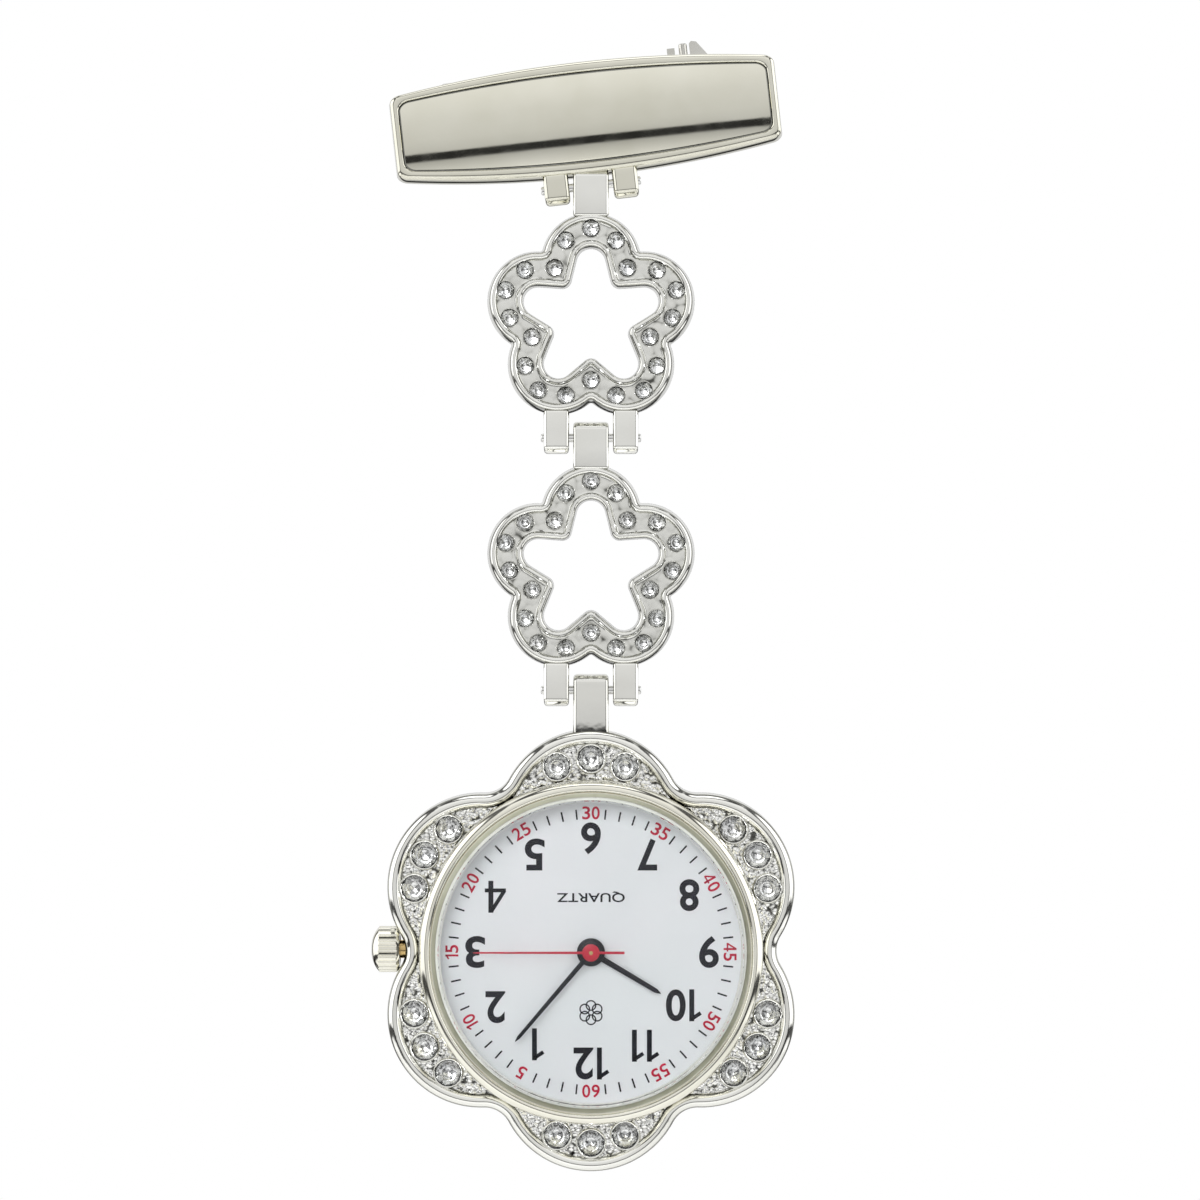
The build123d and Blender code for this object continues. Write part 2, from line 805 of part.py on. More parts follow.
with BuildPart() as clutch_wheel:
    with BuildSketch(stem_section(stem_inner_end + 0.1)):
        add(wheel_outline(14, 0.86))
        Circle(stem_radius, mode=Mode.SUBTRACT)
    extrude(amount=0.8)
save(clutch_wheel, "clutch_wheel")

# The setting lever's fork sits in the stem's groove and slides out with it.
lever_thickness = 0.22
with BuildPart() as setting_lever:
    with BuildSketch(stem_section(groove_place + (groove_width - lever_thickness) / 2)):
        Rectangle(1.3, 1.3)
        Circle(groove_radius_stem + running_clearance, mode=Mode.SUBTRACT)
        with Locations((0.35, 0)):
            Rectangle(0.7, 2 * (groove_radius_stem + running_clearance), mode=Mode.SUBTRACT)
    extrude(amount=lever_thickness)
save(setting_lever, "setting_lever")

# ------------------------------------------------------------------------ dial and hands

dial_foot_radius = 0.35
dial_feet = ((6.13, 5.14), (-6.13, -5.14))
with BuildPart() as dial:
    with BuildSketch(watch_front(dial_back)):
        Circle(case_bore_radius - 0.05)
        Circle(1.05, mode=Mode.SUBTRACT)
    extrude(amount=dial_front - dial_back)
    with BuildSketch(watch_front(dial_back)):
        with Locations(*dial_feet):
            Circle(dial_foot_radius)
    extrude(amount=plate_back - dial_back)
save(dial, "dial")

hour_angle = 304
minute_angle = 41
second_angle = 89.3
hour_tube = 0.85
cannon_radius = 0.5
seconds_arbor = 0.18


def hand_direction(angle):
    """Rotation that turns a hand drawn upright to its reading; twelve is at the bottom."""
    return Rotation(0, 0, 180 - angle)


def hand(name, level, thickness, reading, length, width, boss, bore, tail=0.0, tail_width=0.0):
    """A pointed hand with a round boss, pressed on its tube or arbor."""
    with BuildSketch(mode=Mode.PRIVATE) as blade:
        with BuildLine():
            Polyline(
                (-width / 2, 0),
                (-width * 0.5, length * 0.62),
                (-0.04, length),
                (0.04, length),
                (width * 0.5, length * 0.62),
                (width / 2, 0),
                close=True,
            )
        make_face()
        if tail:
            with Locations((0, -tail / 2)):
                Rectangle(tail_width, tail)
        Circle(boss)
        Circle(bore, mode=Mode.SUBTRACT)
    with BuildPart() as blank:
        with BuildSketch(watch_front(level)):
            add(hand_direction(reading) * blade.sketch)
        extrude(amount=thickness)
    save(blank, name)


hand("hour_hand", 2.08, 0.15, hour_angle, 7.5, 0.62, 1.3, hour_tube)
hand("minute_hand", 2.38, 0.13, minute_angle, 10.8, 0.5, 1.0, cannon_radius)
hand("second_hand", 2.66, 0.12, second_angle, 10.9, 0.22, 0.8, seconds_arbor, 3.1, 0.3)

# ------------------------------------------------------------------------- gear train

# Places of the arbors, from the pitch radii of the pairs that turn together.
second_pinion_pitch = 0.318
third_wheel_pitch = 2.382
third_pinion_pitch = 0.3
centre_wheel_pitch = 2.4
second_wheel_pitch = 1.6
idler_pinion_pitch = 0.32
idler_wheel_pitch = 1.56
rotor_pinion_pitch = 0.26
cannon_pinion_pitch = 0.54
minute_wheel_pitch = 1.62
minute_pinion_pitch = 0.432
hour_wheel_pitch = 1.728
arbor_radius = 0.12
pivot_clearance = 0.04


def polar_place(distance, angle, start=(0.0, 0.0)):
    """A place in the movement, a distance and a direction away from another."""
    return (
        start[0] + distance * cos(radians(angle)),
        start[1] + distance * sin(radians(angle)),
    )


third_place = polar_place(second_pinion_pitch + third_wheel_pitch, 135)
idler_place = polar_place(second_wheel_pitch + idler_pinion_pitch, 45)
rotor_place = polar_place(idler_wheel_pitch + rotor_pinion_pitch, 60, idler_place)
minute_wheel_place = polar_place(cannon_pinion_pitch + minute_wheel_pitch, 270)


def train_piece(name, place, discs, bore=0.0):
    """A wheel, its pinion and its arbor: discs are (back, front, shape)."""
    with BuildPart() as piece:
        for low, high, shape in discs:
            with BuildSketch(watch_front(low)):
                with Locations(place):
                    if isinstance(shape, (int, float)):
                        Circle(shape)
                    else:
                        add(shape)
            extrude(amount=high - low)
        if bore:
            with BuildSketch(watch_front(-3)):
                with Locations(place):
                    Circle(bore)
            extrude(amount=6, mode=Mode.SUBTRACT)
    save(piece, name)


train_piece(
    "second_wheel",
    (0, 0),
    [
        (-1.05, -0.87, wheel_outline(40, second_wheel_pitch)),
        (-0.87, -0.32, wheel_outline(8, second_pinion_pitch)),
        (-1.9, 2.82, seconds_arbor),
    ],
)
train_piece(
    "third_wheel",
    third_place,
    [
        (-0.6, -0.42, wheel_outline(60, third_wheel_pitch)),
        (-0.42, 0.08, wheel_outline(8, third_pinion_pitch)),
        (-1.9, 0.6, arbor_radius),
    ],
)
train_piece(
    "centre_wheel",
    (0, 0),
    [
        (-0.15, 0.03, wheel_outline(64, centre_wheel_pitch)),
        (0.03, 2.55, cannon_radius),
        (0.98, 1.13, wheel_outline(12, cannon_pinion_pitch + 0.12)),
    ],
    bore=seconds_arbor + pivot_clearance,
)
train_piece(
    "idler_wheel",
    idler_place,
    [
        (-1.52, -1.35, wheel_outline(48, idler_wheel_pitch)),
        (-1.35, -0.82, wheel_outline(8, idler_pinion_pitch)),
        (-1.9, 0.6, arbor_radius),
    ],
)
train_piece(
    "motor_rotor",
    rotor_place,
    [
        (-1.52, -1.3, wheel_outline(8, rotor_pinion_pitch)),
        (-1.3, -0.3, 0.75),
        (-1.9, 0.6, arbor_radius),
    ],
)
minute_post = 0.2
train_piece(
    "minute_wheel",
    minute_wheel_place,
    [
        (0.99, 1.12, wheel_outline(36, minute_wheel_pitch - 0.12)),
        (1.12, 1.34, wheel_outline(10, minute_pinion_pitch)),
    ],
    bore=minute_post + pivot_clearance,
)
train_piece(
    "hour_wheel",
    (0, 0),
    [
        (1.19, 1.34, wheel_outline(40, hour_wheel_pitch)),
        (1.19, 2.25, hour_tube),
    ],
    bore=cannon_radius + pivot_clearance,
)

# --------------------------------------------------------------------- movement frame

pillars = ((-2.6, -1.7), (4.3, 1.9))
pillar_radius = 0.5
bridge_back = -1.95
bridge_front = -1.7
screw_radius = 0.25
arbor_places = ((0, 0), third_place, idler_place, rotor_place)

with BuildPart() as main_plate:
    with BuildSketch(watch_front(plate_back)):
        Circle(movement_radius)
    extrude(amount=plate_front - plate_back)
    with BuildSketch(watch_front(bridge_front)):
        with Locations(*pillars):
            Circle(pillar_radius)
    extrude(amount=plate_back - bridge_front)
    with BuildSketch(watch_front(plate_front)):
        with Locations(minute_wheel_place):
            Circle(minute_post)
    extrude(amount=0.4)
    with BuildSketch(watch_front(plate_back)):
        Circle(cannon_radius + pivot_clearance)
        with Locations(*arbor_places[1:]):
            Circle(arbor_radius + pivot_clearance)
        with Locations(*dial_feet):
            Circle(dial_foot_radius)
    extrude(amount=plate_front - plate_back, mode=Mode.SUBTRACT)
    with BuildSketch(watch_front(bridge_front)):
        with Locations(*pillars):
            Circle(screw_radius)
    extrude(amount=1.2, mode=Mode.SUBTRACT)
save(main_plate, "main_plate")

with BuildPart() as train_bridge:
    with BuildSketch(watch_front(bridge_back)):
        with Locations(*arbor_places, *pillars):
            Circle(1.0)
        make_hull()
        Circle(seconds_arbor + pivot_clearance, mode=Mode.SUBTRACT)
        with Locations(*arbor_places[1:]):
            Circle(arbor_radius + pivot_clearance, mode=Mode.SUBTRACT)
        with Locations(*pillars):
            Circle(screw_radius, mode=Mode.SUBTRACT)
    extrude(amount=bridge_front - bridge_back)
save(train_bridge, "train_bridge")

with BuildPart() as bridge_screws:
    with BuildSketch(watch_front(bridge_front)):
        with Locations(*pillars):
            Circle(screw_radius)
    extrude(amount=1.1)
    with BuildSketch(watch_front(bridge_back - 0.25)):
        with Locations(*pillars):
            Circle(0.5)
    extrude(amount=0.25)
    with BuildSketch(watch_front(bridge_back)):
        with Locations(*pillars):
            Circle(screw_radius)
    extrude(amount=bridge_front - bridge_back)
    with BuildSketch(watch_front(bridge_back - 0.25)):
        with Locations(*pillars):
            Rectangle(0.9, 0.14)
    extrude(amount=0.12, mode=Mode.SUBTRACT)
save(bridge_screws, "bridge_screws")

# Step motor: a stator plate round the rotor, closed through the coil's core.
coil_z = 6.2
coil_radius = 1.05
coil_half_length = 3.45
core_back = -1.45
core_front = -0.95
stator_front = -0.45
core_end = 5.0

with BuildPart() as stator:
    with BuildSketch(watch_front(core_front)):
        with Locations((-4.4, 5.7)):
            Rectangle(1.2, 2.4)
        with Locations((-1.55, 4.72)):
            Rectangle(6.9, 0.44)
        with Locations(rotor_place):
            Circle(1.35)
        with Locations((1.9, 4.4)):
            Rectangle(1.4, 1.08)
        with Locations((4.4, 5.0)):
            Rectangle(1.2, 3.8)
        with Locations((3.4, 3.6)):
            Rectangle(1.4, 1.0)
        with Locations(rotor_place):
            Circle(0.95, mode=Mode.SUBTRACT)
    extrude(amount=stator_front - core_front)
save(stator, "stator_plate")

with BuildPart() as coil_core:
    with BuildSketch(watch_front(core_back)):
        with Locations((0, coil_z)):
            Rectangle(2 * core_end, 1.0)
    extrude(amount=core_front - core_back)
save(coil_core, "coil_core")

with BuildPart() as coil:
    coil_plane = Plane(
        (0, -chain_forward - (core_back + core_front) / 2, dial_z + coil_z),
        x_dir=(0, 1, 0),
        z_dir=(1, 0, 0),
    )
    with BuildSketch(coil_plane):
        Circle(coil_radius)
        Rectangle(core_front - core_back, 1.0, mode=Mode.SUBTRACT)
    extrude(amount=coil_half_length, both=True)
save(coil, "coil_winding")

battery_place = (3.9, -3.6)
battery_radius = 3.4
battery_back = -2.55
battery_front = -0.45
with BuildPart() as battery:
    with BuildSketch(watch_front(battery_back)):
        with Locations(battery_place):
            Circle(battery_radius)
    extrude(amount=1.75)
    fillet(battery.faces().sort_by(Axis.Y)[-1].edges(), 0.2)
    with BuildSketch(watch_front(battery_back + 1.75)):
        with Locations(battery_place):
            Circle(battery_radius - 0.55)
    extrude(amount=battery_front - battery_back - 1.75)
save(battery, "button_cell")

circuit_back = -0.45
circuit_front = -0.3
with BuildPart() as circuit_board:
    with BuildSketch(watch_front(circuit_back)):
        Circle(movement_radius - 0.3)
        with Locations((-4.0, -5.4)):
            Rectangle(7.0, 6.0, mode=Mode.INTERSECT)
    extrude(amount=circuit_front - circuit_back)
    # Sealed drop over the chip.
    with BuildSketch(watch_front(circuit_back - 0.45)):
        with Locations((-2.4, -4.0)):
            RectangleRounded(1.7, 1.7, 0.4)
    extrude(amount=0.45)
save(circuit_board, "circuit_board")

quartz_radius = 0.7
with BuildPart() as quartz_can:
    quartz_plane = Plane(
        (-6.3, -chain_forward - circuit_back + quartz_radius, dial_z - 3.0),
        x_dir=(0, 1, 0),
        z_dir=(0.62, 0, -0.78),
    )
    with BuildSketch(quartz_plane):
        Circle(quartz_radius)
    extrude(amount=4.6)
    fillet(quartz_can.edges().filter_by(GeomType.CIRCLE), 0.12)
save(quartz_can, "quartz_can")

with BuildPart() as battery_strap:
    strap_z = battery_place[1]
    with BuildSketch(watch_front(battery_back - 0.14)):
        with Locations((3.35, strap_z)):
            Rectangle(8.5, 1.5)
    extrude(amount=0.12)
    with BuildSketch(watch_front(battery_back - 0.02)):
        with Locations((-0.8, strap_z)):
            Rectangle(0.2, 1.5)
    extrude(amount=circuit_back - battery_back)
save(battery_strap, "battery_strap")

holder_back = -2.4
with BuildPart() as movement_holder:
    with BuildSketch(watch_front(holder_back)):
        Circle(case_bore_radius - 0.7)
        Circle(movement_radius + 0.05, mode=Mode.SUBTRACT)
    extrude(amount=dial_back - 0.02 - holder_back)
    with BuildSketch(watch_front(holder_back)):
        with Locations((-11.6, 0)):
            Rectangle(8, 2.0)
    extrude(amount=2.6, mode=Mode.SUBTRACT)
save(movement_holder, "movement_holder")
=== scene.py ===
"""A pin-on fob watch: brooch bar, two stone-set flower links and a flower-shaped quartz watch."""

import json
import random
from math import acos, atan2, cos, pi, radians, sin, sqrt

import bmesh
import bpy
from mathutils import Matrix, Vector, noise


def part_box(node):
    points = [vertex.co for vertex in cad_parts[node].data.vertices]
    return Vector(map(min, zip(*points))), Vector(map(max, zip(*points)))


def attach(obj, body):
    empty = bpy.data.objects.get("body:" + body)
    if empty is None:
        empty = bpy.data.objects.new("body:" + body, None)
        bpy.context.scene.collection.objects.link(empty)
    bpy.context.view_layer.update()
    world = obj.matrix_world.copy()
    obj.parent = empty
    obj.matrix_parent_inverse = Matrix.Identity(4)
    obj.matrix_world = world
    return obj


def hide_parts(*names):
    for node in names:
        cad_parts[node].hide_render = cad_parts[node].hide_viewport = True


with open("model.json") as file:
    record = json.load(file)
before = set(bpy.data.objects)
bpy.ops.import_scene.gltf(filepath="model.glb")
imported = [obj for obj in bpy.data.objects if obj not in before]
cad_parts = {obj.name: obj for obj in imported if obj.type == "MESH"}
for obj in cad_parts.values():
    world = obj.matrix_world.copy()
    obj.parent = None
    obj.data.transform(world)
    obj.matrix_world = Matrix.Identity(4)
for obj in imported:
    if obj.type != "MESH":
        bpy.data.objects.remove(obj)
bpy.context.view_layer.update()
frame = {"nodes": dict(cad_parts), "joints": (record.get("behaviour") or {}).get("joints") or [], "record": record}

# ------------------------------------------------------------------------ brooch bar
# The bar is a zinc casting with a raised rim round a crowned, polished panel. It is plated
# a warm silver and buffed. The narrow groove round the panel is painted dark grey as painted
# shade. Two ears below it carry the chain.

mm = 0.001
hinges = {joint["name"]: joint for joint in frame["joints"]}
bar_axis = Vector(hinges["top_hinge"]["axis"])
bar_place = Matrix.Rotation(-atan2(bar_axis.z, bar_axis.x), 4, "Y")
top_hinge = bar_place.inverted() @ (Vector(hinges["top_hinge"]["pos_m"]) / mm)


def add_node(tree, kind, **inputs):
    """A shader node with its named inputs set."""
    made = tree.nodes.new("ShaderNode" + kind)
    for label, value in inputs.items():
        made.inputs[label.replace("_", " ")].default_value = value
    return made


def fix_to_piece(tree, pattern):
    """Lay a pattern on the piece's own coordinates."""
    place = tree.nodes.new("ShaderNodeTexCoord")
    mapping = add_node(tree, "Mapping")
    tree.links.new(place.outputs["Object"], mapping.inputs["Vector"])
    tree.links.new(mapping.outputs["Vector"], pattern.inputs["Vector"])


def noise_over(tree, size, detail=2.0):
    """Noise fixed to the piece, its lumps about size millimetres across."""
    cloud = add_node(tree, "TexNoise", Scale=1 / (size * mm), Detail=detail)
    fix_to_piece(tree, cloud)
    return cloud.outputs["Fac"]


def blend_by(tree, factor, stops):
    """A ramp from a factor to colours: stops are (place, colour)."""
    ramp = tree.nodes.new("ShaderNodeValToRGB")
    elements = ramp.color_ramp.elements
    while len(elements) < len(stops):
        elements.new(0.5)
    for element, (place, colour) in zip(elements, stops):
        element.position = place
        element.color = (*colour, 1)
    tree.links.new(factor, ramp.inputs["Fac"])
    return ramp.outputs["Color"]


def raise_by(tree, shader, height, depth):
    """Bump the surface by a height pattern, depth in millimetres."""
    bump = add_node(tree, "Bump", Strength=1.0, Distance=depth * mm)
    tree.links.new(height, bump.inputs["Height"])
    tree.links.new(bump.outputs["Normal"], shader.inputs["Normal"])


def start_material(name, **inputs):
    """A new material and its tree and shader, with the shader's own sockets set."""
    material = bpy.data.materials.new(name)
    material.use_nodes = True
    tree = material.node_tree
    shader = tree.nodes["Principled BSDF"]
    for label, value in inputs.items():
        shader.inputs[label.replace("_", " ")].default_value = value
    return material, tree, shader


def tint(tree, shader, size, light, dark):
    """Let the colour drift between two shades over patches of the given size."""
    patches = noise_over(tree, size, detail=3.0)
    colour = blend_by(tree, patches, [(0.3, dark), (0.7, light)])
    tree.links.new(colour, shader.inputs["Base Color"])


def wear(tree, shader, size, smooth, rough):
    """Let the roughness vary between two values."""
    patches = noise_over(tree, size, detail=4.0)
    spread = add_node(tree, "MapRange", From_Min=0.3, From_Max=0.7, To_Min=smooth, To_Max=rough)
    tree.links.new(patches, spread.inputs["Value"])
    tree.links.new(spread.outputs["Result"], shader.inputs["Roughness"])


def plated_metal(name, light, dark, smooth, rough, ripple, depth):
    """Plated metal: slight drift of colour and polish, and a ripple left by casting."""
    material, tree, shader = start_material(name, Metallic=1.0)
    tint(tree, shader, 6.0, light, dark)
    wear(tree, shader, 1.5, smooth, rough)
    raise_by(tree, shader, noise_over(tree, ripple), depth)
    return material


bar_plating = plated_metal(
    "bar_plating", (0.79, 0.775, 0.68), (0.72, 0.705, 0.60), 0.04, 0.10, 5.0, 0.012
)
# shadow_plating is painted shade: a dark grey plating put on the bar's groove and on the links' and case's steep
# walls, where shade falls.
shadow_plating = plated_metal(
    "shadow_plating", (0.42, 0.42, 0.38), (0.20, 0.20, 0.18), 0.15, 0.3, 0.8, 0.02
)

to_metres = Matrix.Scale(mm, 4)
merge_distance = 1e-4


def make_piece(name, bm, materials, body, stands_for=(), place=Matrix(), sharp=38):
    """Close off a mesh made in millimetres, put it in its place and let it ride on its body."""
    bmesh.ops.remove_doubles(bm, verts=bm.verts, dist=merge_distance)
    bmesh.ops.recalc_face_normals(bm, faces=bm.faces)
    bmesh.ops.transform(bm, matrix=to_metres @ place, verts=bm.verts)
    mesh = bpy.data.meshes.new(name)
    bm.to_mesh(mesh)
    bm.free()
    mesh.shade_smooth()
    mesh.set_sharp_from_angle(angle=radians(sharp))
    for material in materials:
        mesh.materials.append(material)
    piece = bpy.data.objects.new(name, mesh)
    bpy.context.scene.collection.objects.link(piece)
    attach(piece, body)
    if stands_for:
        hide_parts(*stands_for)
    return piece


def next_loop(bm, loop):
    """Draw a new loop of vertices out of the one before it, in the same order."""
    inside = set(loop)
    edges = dict.fromkeys(
        edge for vert in loop for edge in vert.link_edges if edge.other_vert(vert) in inside
    )
    geometry = bmesh.ops.extrude_edge_only(bm, edges=list(edges))["geom"]
    drawn = {item for item in geometry if isinstance(item, bmesh.types.BMVert)}
    return [
        next(edge.other_vert(vert) for edge in vert.link_edges if edge.other_vert(vert) in drawn)
        for vert in loop
    ]


def loft(bm, rings):
    """Skin a band through rings of equally many (right, forward, up) points."""
    upright = Matrix.Rotation(pi / 2, 4, "X")
    loop = []
    for ring in rings:
        if loop:
            loop = next_loop(bm, loop)
        else:
            loop = bmesh.ops.create_circle(bm, segments=len(ring), radius=1, matrix=upright)["verts"]
            loop.sort(key=lambda vert: atan2(vert.co.z, vert.co.x) % (2 * pi))
        for vert, (right, forward, up) in zip(loop, ring):
            vert.co = (right, -forward, up)


bar_length = 36.3
bar_middle_height = 10.8
bar_end_height = 7.9
bar_centre = (-0.88, -3.35)
bar_crest = 5.65
crest_radius = 10.8
crest_end_drop = 0.42
bar_slimming = 1 - bar_end_height / bar_middle_height
end_rim_share = 0.76
corner_steps = 10
long_steps = 84
short_steps = 20


def crowned(along, up):
    """How far forward the polished panel stands at a place on the bar."""
    end_drop = crest_end_drop * (along / (bar_length / 2)) ** 2
    return bar_crest - end_drop - crest_radius + sqrt(crest_radius**2 - up**2)


def barrel_ring(inset, corner, forward=None):
    """One ring of the bar, drawn in by inset, at a level or on the crown of the panel."""
    half_along = bar_length / 2 - inset * end_rim_share
    half_up = bar_middle_height / 2 - inset
    corner = min(corner, half_up)
    flat = []
    for quarter, (side, level) in enumerate(((1, 1), (-1, 1), (-1, -1), (1, -1))):
        middle = Vector((side * (half_along - corner), level * (half_up - corner)))
        for step in range(corner_steps + 1):
            angle = pi / 2 * (quarter + step / corner_steps)
            flat.append(middle + corner * Vector((cos(angle), sin(angle))))
        last = flat[-1]
        lengthways = quarter in (0, 2)
        following = Vector((-middle.x, last.y)) if lengthways else Vector((last.x, -middle.y))
        steps = long_steps if lengthways else short_steps
        flat.extend(last.lerp(following, step / steps) for step in range(1, steps))
    ring = []
    for along, up in flat:
        up *= 1 - bar_slimming * (along / (bar_length / 2)) ** 2
        ring.append((along, crowned(along, up) if forward is None else forward, up))
    return ring


# Each ring of the bar is (how far it is drawn in, its corner's radius, its level).
back_rings = [(5.4, 0, 2.3), (2.7, 0.5, 2.3), (0.5, 0.8, 2.3), (0.2, 0.85, 2.38), (0.04, 0.9, 2.6)]
side_rings = [
    (0, 0.9, 2.9), (0.2, 0.9, 4.6), (0.26, 0.9, 4.82), (0.38, 0.9, 4.98), (0.55, 0.92, 5.07),
]
rim_rings = [
    (0.72, 0.95, 5.1), (0.98, 1.0, 5.1), (1.1, 1.02, 5.06), (1.18, 1.04, 4.97), (1.22, 1.05, 4.8),
]
groove_rings = [(1.24, 1.05, 4.6), (1.34, 1.02, 4.6), (1.36, 1.0, 4.72)]
panel_insets = (1.39, 1.45, 1.6, 1.9, 2.3, 2.7, 3.1, 3.5, 3.9, 4.3, 4.7, 5.05, 5.3, 5.4)
panel_corner = 0.9

bm = bmesh.new()
loft(
    bm,
    [barrel_ring(*ring) for ring in back_rings + side_rings + rim_rings + groove_rings]
    + [barrel_ring(inset, panel_corner) for inset in panel_insets],
)
groove_floor = 4.65
groove_levels = (4.5, 4.97)
groove_insets = (0.8, 2)
groove_wall_slope = 0.6
bm.normal_update()
for face in bm.faces:
    along, back, up = face.calc_center_median()
    narrowing = 1 - bar_slimming * (along / (bar_length / 2)) ** 2
    inset = min(bar_middle_height / 2 * narrowing - abs(up), bar_length / 2 - abs(along))
    steep = abs(face.normal.y) < groove_wall_slope or -back < groove_floor
    beside_panel = groove_insets[0] < inset < groove_insets[1]
    in_groove = beside_panel and groove_levels[0] < -back < groove_levels[1]
    # Faces on the groove's steep walls and floor get shadow_plating, which is painted shade.
    face.material_index = int(steep and in_groove)
bmesh.ops.translate(bm, vec=(bar_centre[0], 0, bar_centre[1]), verts=bm.verts)

hinge_forward = -top_hinge.y
eye_radius = 1.5
eye_half_thickness = 1.2
eye_side = sqrt(eye_radius**2 - eye_half_thickness**2)
eye_steps = 48
eye_corner_angle = 1
bore_margin = 0.1
hinge_pin_radius = 0.4
ear_middle = 3.225
ear_width = 2.35
bar_ear_reach = 1.5
bar_ear_softness = 0.42


def hinge_eye(bm, centre, width, reach, bore, softness):
    """A flat-sided hinge eye bored along X, its root reaching up, or down if negative."""
    centre = Vector(centre)
    facing = Matrix.Translation(centre - Vector((width / 2, 0, 0))) @ Matrix.Rotation(pi / 2, 4, "Y")
    outer = bmesh.ops.create_circle(
        bm, segments=eye_steps, radius=eye_radius, matrix=facing
    )["verts"]
    inner = bmesh.ops.create_circle(bm, segments=eye_steps, radius=bore, matrix=facing)["verts"]
    for vert in outer:
        back, up = vert.co.y - centre.y, vert.co.z - centre.z
        vert.co.y = centre.y + max(-eye_half_thickness, min(eye_half_thickness, back))
        if up * reach > 0 and abs(up) > eye_side - 0.01:
            vert.co.z = centre.z + reach
    edges = dict.fromkeys(edge for vert in outer + inner for edge in vert.link_edges)
    side = bmesh.ops.bridge_loops(bm, edges=list(edges))["faces"]
    far = bmesh.ops.extrude_face_region(bm, geom=side)["geom"]
    far_verts = [item for item in far if isinstance(item, bmesh.types.BMVert)]
    bmesh.ops.translate(bm, vec=(width, 0, 0), verts=far_verts)
    whole = dict.fromkeys(outer + inner + far_verts)
    corners = [
        edge
        for edge in dict.fromkeys(edge for vert in whole for edge in vert.link_edges)
        if len(edge.link_faces) == 2
        and edge.calc_face_angle() > eye_corner_angle
        and all((vert.co - centre).yz.length > bore + bore_margin for vert in edge.verts)
    ]
    bmesh.ops.bevel(
        bm, geom=corners, offset=softness, affect="EDGES", segments=4, profile=0.5, material=-1
    )


for side in (-1, 1):
    centre = (top_hinge.x + side * ear_middle, -hinge_forward, top_hinge.z)
    hinge_eye(bm, centre, ear_width, bar_ear_reach, hinge_pin_radius, bar_ear_softness)
make_piece(
    "bar_casting", bm, [bar_plating, shadow_plating], "brooch",
    ["brooch_bar"], bar_place,
)

# ------------------------------------------------------------------------- cut stones
# Round brilliant glass stones with a mirror foil under them, each cemented in a bored cup
# behind a thin raised ring. They are all one cut, and no two lie quite alike.

# Each ring of a stone is (radius at even corners, radius at odd corners, level).
stone_facets = 16
stone_rings = (
    (0, 0, -0.75), (0.5, 0.5, -0.38), (1, 1, -0.05), (1, 1, 0),
    (0.79, 0.74, 0.2), (0.56, 0.517, 0.34), (0, 0, 0.34),
)
foil_edge = 0.03

bm = bmesh.new()
stone_shape = []
for even, odd, forward in stone_rings:
    ring = []
    for step in range(stone_facets):
        radius = odd if step % 2 else even
        angle = 2 * pi * step / stone_facets
        ring.append((radius * sin(angle), forward, radius * cos(angle)))
    stone_shape.append(ring)
loft(bm, stone_shape)
bmesh.ops.remove_doubles(bm, verts=bm.verts, dist=merge_distance)
bmesh.ops.triangulate(bm, faces=bm.faces)
bmesh.ops.recalc_face_normals(bm, faces=bm.faces)
for face in bm.faces:
    face.material_index = int(face.calc_center_median().y > foil_edge)
brilliant = bpy.data.meshes.new("brilliant")
bm.to_mesh(brilliant)
bm.free()

stone_glass, tree, shader = start_material(
    "stone_glass", Transmission_Weight=1.0, IOR=1.48, Roughness=0.0
)
glass_tint = blend_by(tree, noise_over(tree, 2.5), [(0.3, (0.93, 0.95, 0.97)), (0.7, (1, 1, 1))])
tree.links.new(glass_tint, shader.inputs["Base Color"])
stone_foil = plated_metal(
    "stone_foil", (0.98, 0.98, 0.97), (0.94, 0.94, 0.94), 0.05, 0.13, 0.6, 0.01
)
stone_luck = random.Random(11)
stone_fit = 0.965
stone_lean = 1.6


def add_copy(bm, mesh, matrix):
    """Add one more copy of a mesh at a place."""
    before = len(bm.verts)
    bm.from_mesh(mesh)
    bm.verts.ensure_lookup_table()
    bmesh.ops.transform(bm, matrix=matrix, verts=bm.verts[before:])


def set_stones(name, places, radius, girdle, level, body, stands_for):
    """Set a brilliant at each (right, up) place, with its own turn and a slight lean."""
    bm = bmesh.new()
    for right, up in places:
        lean = Matrix.Rotation(radians(stone_luck.gauss(0, stone_lean)), 4, "X")
        lean @= Matrix.Rotation(radians(stone_luck.gauss(0, stone_lean)), 4, "Z")
        turn = Matrix.Rotation(stone_luck.uniform(0, 2 * pi), 4, "Y")
        spot = Matrix.Translation((right, -girdle, up))
        add_copy(bm, brilliant, spot @ lean @ turn @ Matrix.Scale(radius * stone_fit, 4))
    place = Matrix.Translation((0, -hinge_forward, level))
    make_piece(
        name, bm, [stone_glass, stone_foil], body, [stands_for], place, sharp=1
    )


def stone_places(petals, rings):
    """Stone centres round a flower: each ring is (radius, angle from the petal's middle)."""
    return [
        (radius * sin(2 * pi / petals * petal + radians(aside)),
         radius * cos(2 * pi / petals * petal + radians(aside)))
        for petal in range(petals)
        for radius, aside in rings
    ]


# ----------------------------------------------------------------------- flower links
# Each link is one open casting: five petals round a star hole, a channel between two
# polished ridges, a tongue above and two ears below. It is plated a cooler silver than the
# bar, and its channel is left as it was cast, with painted shade between its beads and on
# the steep walls beside it.

bead_softness = 0.35


